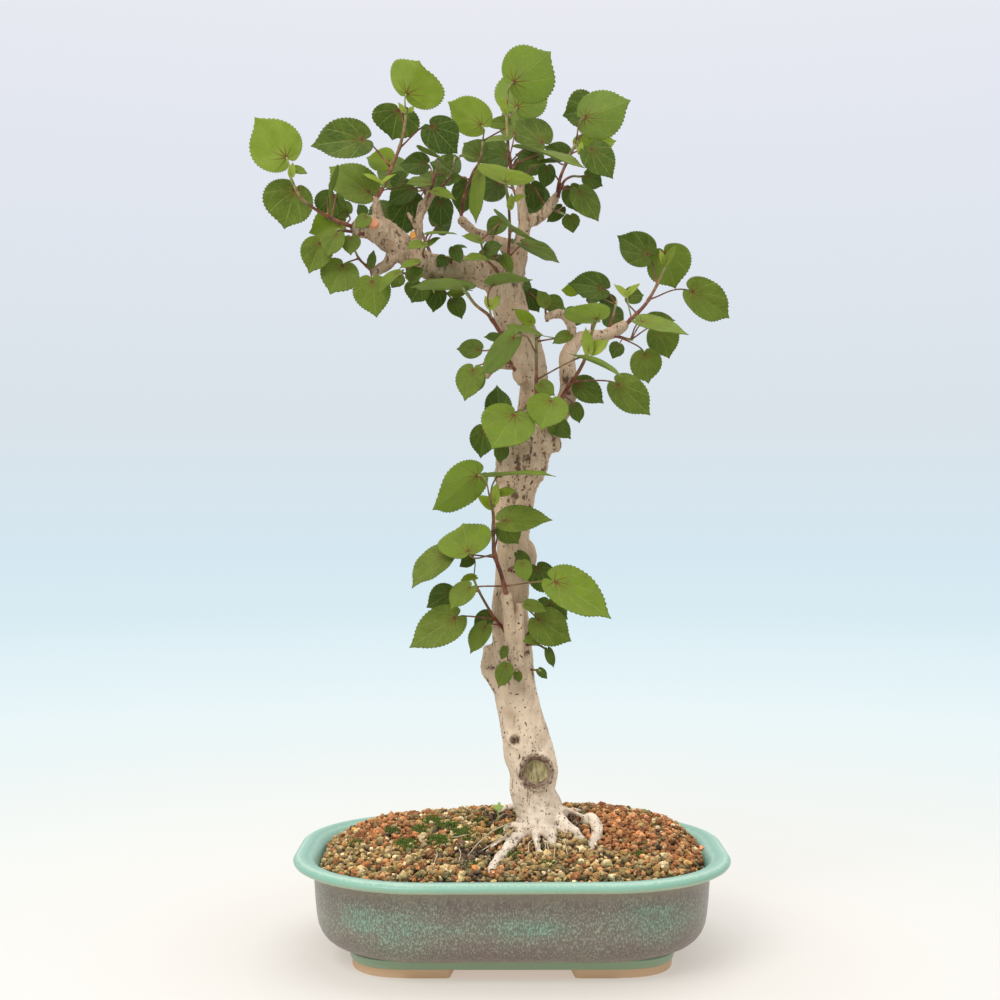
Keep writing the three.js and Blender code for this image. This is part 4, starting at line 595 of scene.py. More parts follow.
stain_and_shade_of = bark_mesh.verts.layers.float.new("stain_and_shade")
bark_mesh.normal_update()
moved = []
for vert in bark_mesh.verts:
    p = vert.co / MM
    grain = noise.fractal(Vector((p.x * 0.32, p.y * 0.32, p.z * 0.05)), 1.0, 2.0, 3)
    lump = noise_at(p, 0.09, 0.07, (7, 3, 1))
    scab = noise_at(p, 0.4, 0.5, (31, 9, 5))
    chip = noise_at(p, 0.7, 0.6, (3, 19, 8))
    patch = noise_at(p, 0.05, 0.06, (2, 5, 11))
    # Corky and scabbed at the collars of the old branches and all over the crown's wood.
    corky = bell(p.z, COLLARS[0], 32) + 0.8 * bell(p.z, COLLARS[1], 15)
    corky = min(1, corky + 0.6 * limited((p.z - CROWN_FOOT) / 50) + 0.4 * max(0, patch))
    rise = (0.3 + 0.35 * corky) * grain + (0.9 + 0.9 * corky) * lump
    rise += (0.4 + 1.2 * corky) * max(0, scab - 0.12) + (0.16 + 0.3 * corky) * chip
    # Wrinkles across the roots, where they bend and thicken.
    rooty = bell(p.z, ROOT_BASE, 24)
    ringed = math.sin(1.1 * p.z + 4 * lump + 0.35 * p.x + 2 * scab)
    rise += (0.35 * ringed + 0.3 * chip) * rooty
    # Raised grain, scabs and chips are paler and their low parts darker, and so are the root wrinkles
    # below: partly the bark's own colour, partly painted shade in the creases.
    dark = 0.46 - (0.36 + 0.3 * corky) * grain + 0.2 * corky * (0.5 - 2 * scab) - 0.4 * corky * chip
    dark -= 0.05 * bell(p.z, 150, 50) + rooty * (0.24 * ringed + 0.16 * chip)
    if p.y < 4:
        across, up = as_seen(p)
        for pit_across, pit_up, radius, depth in PITS:
            away = ((across - pit_across) ** 2 + (up - pit_up) ** 2) / radius ** 2
            if away < 9:
                front = limited(-1.6 * vert.normal.y)
                rise -= depth * front * math.exp(-away * 1.6)
                # Painted shade: each pit is darkened as well as dented.
                dark += 0.9 * front * math.exp(-away * 2)
        (wound_across, wound_up, wound_depth), wound_radius, _ = WOUNDS[0]
        away = math.hypot(across - wound_across, (up - wound_up) / WOUND_TALL)
        if away < wound_radius + 6:
            curl = math.atan2(up - wound_up, across - wound_across)
            layers = math.sin(2.3 * away + 2 * math.sin(2 * curl) + 5 * lump + 3 * scab)
            on_lip = bell(away, wound_radius + 0.4, 3)
            rise += (0.6 * layers + 1.2 * scab + 0.5 * chip) * on_lip
            # The lip's layers and scabs are paler where raised and darker between: partly painted shade.
            dark += on_lip * (0.3 - 0.35 * layers - 0.5 * scab)
            if away < WOUND_FLOOR:
                flat = wound_depth + 1.2 + 0.5 * noise.noise(Vector((p.x * 0.5, 0, p.z * 0.5)))
                share = min(1, (WOUND_FLOOR - away) / 1.2)
                level = max(vert.co.y, flat * MM * share + vert.co.y * (1 - share))
                moved.append((vert, Vector((vert.co.x, level, vert.co.z))))
                rise = 0
                dark = 0.5 + 0.5 * bell(away, 8.6, 0.8)
    vert[stain_and_shade_of] = dark
    if rise:
        moved.append((vert, vert.co + vert.normal * (rise * MM)))
for vert, spot in moved:
    vert.co = spot
smooth(bark_mesh)
bark_mesh.normal_update()
wood_top = BVHTree.FromBMesh(bark_mesh)

# Bark of a young tropical hardwood: cream to tan, dry and matt, whiter towards the roots, with brown
# pores 1 to 2 mm across and brown where it is cracked or cut. Its pits and the low parts of its relief are
# darker too, which is painted shade.
corky_bark = new_material("corky bark")
place = add_node(corky_bark, "TexCoord", out="Object")
stain_and_shade = add_node(corky_bark, "Attribute", attribute_name="stain_and_shade", out="Fac")
height = add_node(corky_bark, "SeparateXYZ", place, out="Z")
drawn = add_node(corky_bark, "Mapping", place, Scale=(1.0, 1.0, 0.22))
fibre = add_node(corky_bark, "TexNoise", drawn, Scale=520, Detail=4, Roughness=0.65)
blotch = add_node(corky_bark, "TexNoise", place, Scale=60, Detail=3)
spread = add_node(corky_bark, "TexNoise", place, Scale=90, Detail=2, out="Color")
loose = add_node(corky_bark, "MixRGB", 0.012, place, spread, blend_type="ADD")
near_pore, pore_hue = add_node(corky_bark, "TexVoronoi", loose, Scale=310, Randomness=1, out=slice(2))
size = add_node(corky_bark, "Math", pore_hue, 0.32, operation="MULTIPLY")
in_pore = add_node(corky_bark, "Math", size, near_pore, operation="SUBTRACT")
pore = add_node(corky_bark, "MapRange", in_pore, 0, 0.07)
ground = add_node(
    corky_bark, "ValToRGB", height, stops={0.07: "#fbecd6", 0.13: "#f0d9bc", 0.2: "#dfc3a4",
    0.3: "#cdb08f", 0.42: "#c4a88a", 0.55: "#b99c7d"})
tanned = add_node(corky_bark, "MapRange", blotch, 0.42, 0.72, To_Max=0.6)
mottled = add_node(corky_bark, "MixRGB", tanned, ground, "#9c7a59")
ashen = add_node(corky_bark, "MapRange", fibre, 0.5, 0.68, To_Max=0.5)
mottled = add_node(corky_bark, "MixRGB", ashen, mottled, "#e0cdb3")
worn = add_node(corky_bark, "Math", fibre, 2, -1.0, operation="MULTIPLY_ADD")
depth = add_node(corky_bark, "Math", stain_and_shade, worn, operation="ADD")
# Dark brown where the stain and shade run high: the bark's cracks, and painted shade in its pits and
# creases.
crack_and_shade = add_node(corky_bark, "MapRange", depth, 0.66, 1.02, To_Max=0.9)
cracked_and_shaded = add_node(corky_bark, "MixRGB", crack_and_shade, mottled, "#5c402b")
pored = add_node(corky_bark, "MixRGB", pore, cracked_and_shaded, "#5f4330")
wound = seen(*WOUNDS[0][0])
reach = add_node(corky_bark, "VectorMath", place, wound, operation="DISTANCE", out="Value")
torn = add_node(corky_bark, "TexNoise", place, Scale=260, Detail=2)
reach = add_node(corky_bark, "Math", torn, 0.005, reach, operation="MULTIPLY_ADD")
cut = add_node(corky_bark, "MapRange", reach, 0.0118, 0.0108)
decay = add_node(corky_bark, "ValToRGB", fibre, stops={0.3: "#5f5633", 0.42: "#9a8c5e", 0.6: "#bfae82"})
healed = add_node(corky_bark, "MixRGB", cut, pored, decay)
roll = add_node(corky_bark, "MapRange", reach, 0.0176, 0.0146, To_Max=0.75)
inner = add_node(corky_bark, "Math", 1, cut, operation="SUBTRACT")
rolled = add_node(corky_bark, "Math", roll, inner, operation="MULTIPLY")
lipped = add_node(corky_bark, "MixRGB", rolled, healed, "#6d4d3b")
relief = add_node(corky_bark, "Math", fibre, pore, operation="SUBTRACT")
ridged = add_node(corky_bark, "Bump", Height=relief, Strength=1, Distance=0.0012)
bark = add_node(corky_bark, "BsdfPrincipled", Base_Color=lipped, Roughness=0.88, Normal=ridged, IOR=1.45)
shown(corky_bark, bark)
add_piece(bark_mesh, "tree_wood", [corky_bark], "bark", "trunk")

# Rootlets: pale roots about 1 mm thick that left the root base and run over the grains or hang in
# front of it. Rows hold across and up of each bend.
ROOTLETS = [
    [(12, 93), (0, 89), (-14, 83), (-25, 74), (-34, 66)], [(11, 88), (2, 84), (-8, 77), (-24, 70)],
    [(8, 86), (-4, 79), (-18, 77)], [(22, 80), (20.5, 73), (19, 66)], [(24, 80), (26, 72), (25, 64)],
    [(30, 78), (33, 70), (32, 62)], [(17, 80), (13, 72), (14, 65)], [(36, 80), (41, 73), (43, 66)],
    [(27, 78), (28, 70), (30, 66)], [(-41, 73), (-39, 65), (-42, 58)], [(-58, 70), (-57, 64), (-60, 60)],
    [(45, 86), (52, 80), (50, 72)], [(-28, 84), (-38, 79), (-50, 80)], [(5, 97), (-6, 96), (-16, 90)],
]
rootlets = bmesh.new()
for number, bends in enumerate(ROOTLETS):
    points = []
    for step, (across, up) in enumerate(bends):
        points.append(on_soil(across, up, 5.4 if 0 < step < len(bends) - 1 else 2.5))
    thick = (0.62 if number < 3 else 0.42) * MM
    radii = [thick * (1 - 0.12 * step) for step in range(len(bends))]
    grow_tube(rootlets, smooth_path(points, radii, 4), 6)
bmesh.ops.recalc_face_normals(rootlets, faces=rootlets.faces)
smooth(rootlets)
root_skin = new_material("pale root skin")
place = add_node(root_skin, "TexCoord", out="Object")
dusty = add_node(root_skin, "TexNoise", place, Scale=400, Detail=2)
tint = add_node(root_skin, "ValToRGB", dusty, stops={0.35: "#a08b68", 0.6: "#d6c8a6"})
skin = add_node(root_skin, "BsdfPrincipled", Base_Color=tint, Roughness=0.8)
shown(root_skin, skin)
add_piece(rootlets, "rootlets", [root_skin], "bark")

# Cut twigs: two thin twigs were cut off flush lately, and their wet wood still shows orange. Rows hold
# across, up, the stub's half-width and its colour.
CUT_TWIGS = [(-106, 554, 3.4, "#d98b62"), (-75, 545, 2.8, "#e3a03c")]


def turned_to(spot, way):
    """A matrix that puts a thing at a spot, with its Z along a way."""
    return Matrix.Translation(spot) @ way.to_track_quat("Z", "Y").to_matrix().to_4x4()


cut_twigs = bmesh.new()
wood_of = cut_twigs.verts.layers.float_color.new("wood")
for across, up, half, code in CUT_TWIGS:
    towards = (seen(across, up, 0) - camera.location).normalized()
    spot, way = wood_top.ray_cast(camera.location, towards)[:2]
    made = bmesh.ops.create_cone(cut_twigs, cap_ends=True, segments=14, radius1=1.2 * half * MM,
                                 radius2=half * MM, depth=3 * MM, matrix=turned_to(spot, way))
    for vert in made["verts"]:
        vert[wood_of] = linear(code)
fresh_wood = new_material("fresh cut wood")
grown = add_node(fresh_wood, "Attribute", attribute_name="wood")
wet = add_node(fresh_wood, "BsdfPrincipled", Base_Color=grown, Roughness=0.6)
shown(fresh_wood, wet)
add_piece(cut_twigs, "cut_twigs", [fresh_wood], "bark")

# Soil: sieved fired-clay grains, most 4 to 6 mm across, red-brown or weathered tan, heaped loose round
# the roots. Three beds lie on each other, each in rows like a honeycomb's and shaken out of line. A bed
# holds spacing, scatter, lift, least and most half-width, and least distance inside the rim, in mm.
GRAIN_BEDS = [(4.8, 0.8, 0.2, 2.2, 3.1, 18.4), (6.1, 2, 2.2, 1.9, 3.9, 24), (6.8, 2.6, 3.8, 1.1, 2.5, 28)]
ROW_SHARE = 0.866
SETTLED = 6
RED_CLAY = ["#8c5a32", "#9a6238", "#7c4d2a", "#a17246", "#a56a3c", "#704726", "#ad7c50"]
TAN_CLAY = ["#98804f", "#846c40", "#b39a68", "#6f5c34", "#96703f", "#ac834e", "#5f5030", "#cbb68a",
            "#7c7046", "#4f4328", "#a3875c", "#8f7c53"]
HUMUS = ["#4a392c", "#574434", "#66503a", "#453726"]
# Where the red-brown clay and the dark humus lie, seen from the front: across, up and half-widths.
RED_AREAS = [(-104, 90, 34, 13), (-84, 99, 26, 7), (112, 92, 52, 15), (124, 76, 38, 12), (88, 100, 34, 9),
             (-88, 80, 9, 5), (-18, 56, 13, 5), (86, 80, 16, 7)]
HUMUS_AREAS = [(-32, 71, 15, 7), (-27, 53, 7, 4), (43, 92, 8, 7), (-12, 98, 12, 5)]
# Single larger grains: across, up, half-width and colour.
LARGE_GRAINS = [(71, 106, 5.4, "#7d4626"), (112, 102.5, 5.6, "#6f6a3c"), (136, 97, 3.4, "#96572d"),
                (153, 73, 4.4, "#c58a63"), (-53, 103, 4, "#b0955d"), (-49, 85, 3.4, "#e2875e"),
                (-68, 81, 5, "#a3926b"), (-119, 85, 5, "#b98d4d"), (-81, 97, 4, "#a9693d"),
                (97, 93, 3.4, "#8b7d49"), (117, 66, 5, "#b0a274"), (-29, 56, 4.4, "#c0743c"),
                (-60, 66, 4, "#ab9b74"), (-9, 92, 3.2, "#a87c5a"), (60, 81, 3.6, "#96592f")]


def inset_of(x, y):
    """How far inside the rim's outline a place lies, in mm."""
    over_x = max(abs(x) - (RIM_HALF_LENGTH - RIM_CORNER), 0)
    over_y = max(abs(y) - (RIM_HALF_DEPTH - RIM_CORNER), 0)
    return RIM_CORNER - math.hypot(over_x, over_y)


def end_share(x):
    """0 over the bowl's middle, 1 near its ends."""
    return limited((abs(x) - 70) / 45)


def inside(across, up, areas):
    """How deep a place lies in the deepest of some oval areas: 1 in the middle, 0 at an edge."""
    return max(1 - math.hypot((across - x) / wide, (up - z) / high) for x, z, wide, high in areas)


def lump_kind(shift):
    """A coarse ball of radius 1, out of round. Its "clay" colour holds how far each corner stands out, for
    the painted light put on it later.
    """
    ball = bmesh.new()
    craggy = ball.verts.layers.float_color.new("clay")
    made = bmesh.ops.create_uvsphere(ball, u_segments=7, v_segments=4, radius=1)
    for vert in made["verts"]:
        lump = noise.noise(vert.co * 1.3 + shift)
        crag = noise.noise(vert.co * 3.3 + shift)
        vert.co *= 1 + 0.45 * lump + 0.34 * crag
        vert[craggy] = (crag, crag, crag, 1)
    return as_mesh(ball, "lump_kind")


def add_grain(bm, spot, half, colour, chance):
    """Adds one lump of clay, squashed and turned. Painted light makes its top and jutting corners paler."""
    turn = Matrix.Rotation(chance.uniform(0, 2 * math.pi), 4, Vector((chance.random(), chance.random(), 1)))
    squash = Matrix.Diagonal((chance.uniform(0.85, 1.15), chance.uniform(0.75, 1.05),
                              chance.uniform(0.68, 0.95), 1))
    matrix = turn @ squash @ Matrix.Scale(half * MM, 4)
    before = len(bm.verts)
    bm.from_mesh(chance.choice(LUMPS))
    bm.verts.ensure_lookup_table()
    clay_of = bm.verts.layers.float_color["clay"]
    for vert in bm.verts[before:]:
        away = matrix @ vert.co
        # Painted light and shade: the grain's top and jutting corners are paler, its underside darker.
        painted_light = max(0.15, 0.95 + 0.75 * away.z / (half * MM) + 1.3 * vert[clay_of][0])
        vert.co = spot + away
        vert[clay_of] = [channel * painted_light for channel in colour]


LUMPS = [lump_kind(Vector((7 * number, 3 * number, 5))) for number in range(24)]
# The mass under the loose grains settled lower along the bowl's ends. It is one heap, down to the floor.
crumb_mesh = bmesh.new()
crumb_mesh.from_mesh(soil_mesh)
bmesh.ops.remove_doubles(crumb_mesh, verts=crumb_mesh.verts, dist=0.01 * MM)
for vert in crumb_mesh.verts:
    if vert.co.z > 55 * MM:
        near_wall = limited((38 - inset_of(vert.co.x / MM, vert.co.y / MM)) / 18)
        vert.co.z -= SETTLED * MM * near_wall * end_share(vert.co.x / MM)
soil_top = BVHTree.FromBMesh(crumb_mesh)
beds = []
grain_chance = random.Random(11)
for spacing, scatter, lift, least, most, inset in GRAIN_BEDS:
    for row in range(int(2 * RIM_HALF_DEPTH / (spacing * ROW_SHARE))):
        for column in range(int(2 * RIM_HALF_LENGTH / spacing)):
            x = -RIM_HALF_LENGTH + spacing * (column + 0.5 * (row % 2)) + grain_chance.gauss(0, scatter / 2)
            y = -RIM_HALF_DEPTH + spacing * ROW_SHARE * row + grain_chance.gauss(0, scatter / 2)
            half = grain_chance.uniform(least, most)
            beds.append((x, y, half, lift + grain_chance.uniform(0, 0.9), inset))
sorting_chance = random.Random(12)
batches = {"grains_red": [], "grains_tan": []}
for x, y, half, lift, inset in beds:
    if inset_of(x, y) < inset - 6 * (1 - end_share(x)) + 0.6 * half:
        continue
    hit = soil_top.ray_cast(Vector((x * MM, y * MM, 0.2)), Vector((0, 0, -1)))[0]
    if hit is None:
        continue
    spot = hit + Vector((0, 0, (lift + 0.3 * half - 0.6) * MM))
    nearest, way, _, gap = wood_top.find_nearest(spot)
    within = gap < 6 * MM and (spot - nearest).dot(way) < 0
    if gap < 0.8 * half * MM or within:
        continue
    across, up = as_seen(spot / MM)
    edge = sorting_chance.gauss(0, 0.22)
    shade = sorting_chance.uniform(0.62, 1.3)
    if inside(across, up, HUMUS_AREAS) > edge + 0.1:
        kind, palette, half = "grains_tan", HUMUS, half * 0.9
    elif inside(across, up, RED_AREAS) > edge - 0.05:
        kind = "grains_red"
        palette = TAN_CLAY if sorting_chance.random() < 0.2 else RED_CLAY
    else:
        kind = "grains_tan"
        palette = RED_CLAY if sorting_chance.random() < 0.16 else TAN_CLAY
    colour = linear(sorting_chance.choice(palette))
    batches[kind].append((spot, half, [channel * shade for channel in colour[:3]] + [1.0]))
for across, up, half, code in LARGE_GRAINS:
    batches["grains_tan"].append((on_soil(across, up, 0.4 * half), half, linear(code)))
clay = new_material("fired clay grains")
place = add_node(clay, "TexCoord", out="Object")
# The "clay" colour holds each grain's own colour with its painted light and shade.
tone_and_light = add_node(clay, "Attribute", attribute_name="clay")
# Granular fired clay, dry and matt: sand of 0.4 mm in it, with paler worn spots about 1 mm across.
sand = add_node(clay, "TexNoise", place, Scale=1500, Detail=2, Roughness=0.7)
worn = add_node(clay, "TexNoise", place, Scale=620, Detail=2)
shade = add_node(clay, "MapRange", sand, 0.3, 0.7, 0.45, 1.55)
grey = add_node(clay, "CombineColor", shade, shade, shade)
sandy = add_node(clay, "MixRGB", 1, tone_and_light, grey, blend_type="MULTIPLY")
spotted = add_node(clay, "MapRange", worn, 0.6, 0.7, To_Max=0.5)
mixed = add_node(clay, "MixRGB", spotted, sandy, "#d2bf98")
grit = add_node(clay, "Bump", Height=sand, Strength=0.6, Distance=0.0005)
fired = add_node(clay, "BsdfPrincipled", Base_Color=mixed, Roughness=0.95, Normal=grit, IOR=1.45)
shown(clay, fired)
BATCH = 60


def pour(batch, whole):
    """Adds a batch to the whole mesh. Operators slow down as a mesh grows, so batches stay small."""
    step = as_mesh(batch, "batch")
    whole.from_mesh(step)
    bpy.data.meshes.remove(step)


for name, lumps in batches.items():
    whole = bmesh.new()
    for start in range(0, len(lumps), BATCH):
        batch = bmesh.new()
        batch.verts.layers.float_color.new("clay")
        for spot, half, colour in lumps[start:start + BATCH]:
            add_grain(batch, spot, half, colour, grain_chance)
        pour(batch, whole)
    add_piece(whole, name, [clay], "soil")

# Soil crumb: the mass under the loose grains, of the same clay, painted almost black: painted shade in the
# gaps.
crumb = new_material("damp soil crumb")
place = add_node(crumb, "TexCoord", out="Object")
clod = add_node(crumb, "TexNoise", place, Scale=300, Detail=3)
# Painted shade: the crumb's near-black colours stand in for the shade between the grains.
deep = add_node(crumb, "ValToRGB", clod, stops={0.35: "#2a1d12", 0.65: "#4a3522"})
lumpy = add_node(crumb, "Bump", Height=clod, Strength=0.8, Distance=0.002)
shaded = add_node(crumb, "BsdfPrincipled", Base_Color=deep, Roughness=0.9, Normal=lumpy)
shown(crumb, shaded)
add_piece(crumb_mesh, "soil_crumb", [crumb], "soil", "soil")

# Moss: cushions of upright shoots about 2 mm tall, bright green, most on the grains left of the trunk.
# Rows hold across, up, half-widths and number of shoots.
MOSS_PATCHES = [
    (-60, 91, 9, 5, 420), (-81, 73.5, 10, 4.5, 420), (-56, 77, 10, 4, 380), (-36, 82, 9, 5.5, 400),
    (-46, 88, 7, 4, 240), (-120, 75, 6, 3, 90), (-30, 58, 5, 2, 60), (2, 66, 6, 3, 60),
    (-70, 85, 8, 3.5, 260), (28, 59, 6, 2.5, 50), (98, 66, 5, 2.5, 50), (-8, 84, 5, 3, 60),
    (-24, 92, 7, 3.5, 130), (-92, 84, 6, 3, 120)]
moss_mesh = bmesh.new()
moss_chance = random.Random(13)
for across, up, wide, high, count in MOSS_PATCHES:
    batch = bmesh.new()
    tip_of = batch.verts.layers.float.new("tip")
    for _ in range(count):
        turn = moss_chance.uniform(0, 2 * math.pi)
        reach = math.sqrt(moss_chance.random())
        spot = on_soil(across + wide * reach * math.cos(turn), up + high * reach * math.sin(turn), 1.8)
        spot.z += (3.2 - 1.6 * reach) * MM
        tipped, leant = (Matrix.Rotation(moss_chance.gauss(0, 0.45), 4, axis) for axis in "XY")
        tall = moss_chance.uniform(1.6, 2.8) * MM
        matrix = Matrix.Translation(spot) @ tipped @ leant @ Matrix.Translation((0, 0, tall / 2))
        made = bmesh.ops.create_cone(batch, cap_ends=False, segments=4, radius1=0.5 * MM,
                                     radius2=0.1 * MM, depth=tall, matrix=matrix)
        for vert in made["verts"]:
            vert[tip_of] = 0.0 if (vert.co - spot).length < tall / 2 else moss_chance.uniform(0.4, 1)
    pour(batch, moss_mesh)
bmesh.ops.recalc_face_normals(moss_mesh, faces=moss_mesh.faces)
moss = new_material("cushion moss")
tip = add_node(moss, "Attribute", attribute_name="tip", out="Fac")
green = add_node(moss, "ValToRGB", tip, stops={0: "#27340a", 0.5: "#55691c", 1: "#97a63f"})
fuzz = add_node(moss, "BsdfPrincipled", Base_Color=green, Roughness=0.8)
shown(moss, fuzz)
add_piece(moss_mesh, "moss", [moss], "soil")

# Seedling: a weed's thin stem with two first leaves and a narrow third one, left of the trunk's foot.
seedling = bmesh.new()
foot = on_soil(-10.5, 90, 1)
top = foot + Vector((0.5, -1, 13)) * MM
bowed = (foot + top) / 2 + Vector((-0.6, 0, 0)) * MM
grow_tube(seedling, smooth_path([foot, bowed, top], [0.5 * MM] * 3, 4), 6)
# Each leaf leans by an angle in degrees and has a half-length.
for turn, half in ((-42, 3), (38, 2.6), (4, 3.4)):
    lean = Matrix.Translation(top) @ Matrix.Rotation(math.radians(turn), 4, "Y")
    size = Matrix.Translation((0, 0, half * MM)) @ Matrix.Diagonal((1.5 * MM, 0.35 * MM, half * MM, 1))
    bmesh.ops.create_uvsphere(seedling, u_segments=10, v_segments=8, radius=1, matrix=lean @ size)
smooth(seedling)
sprout = new_material("young weed leaf")
fresh = add_node(sprout, "BsdfPrincipled", Base_Color="#9dbb5e", Roughness=0.5)
shown(sprout, fresh)
add_piece(seedling, "seedling", [sprout], "foliage")
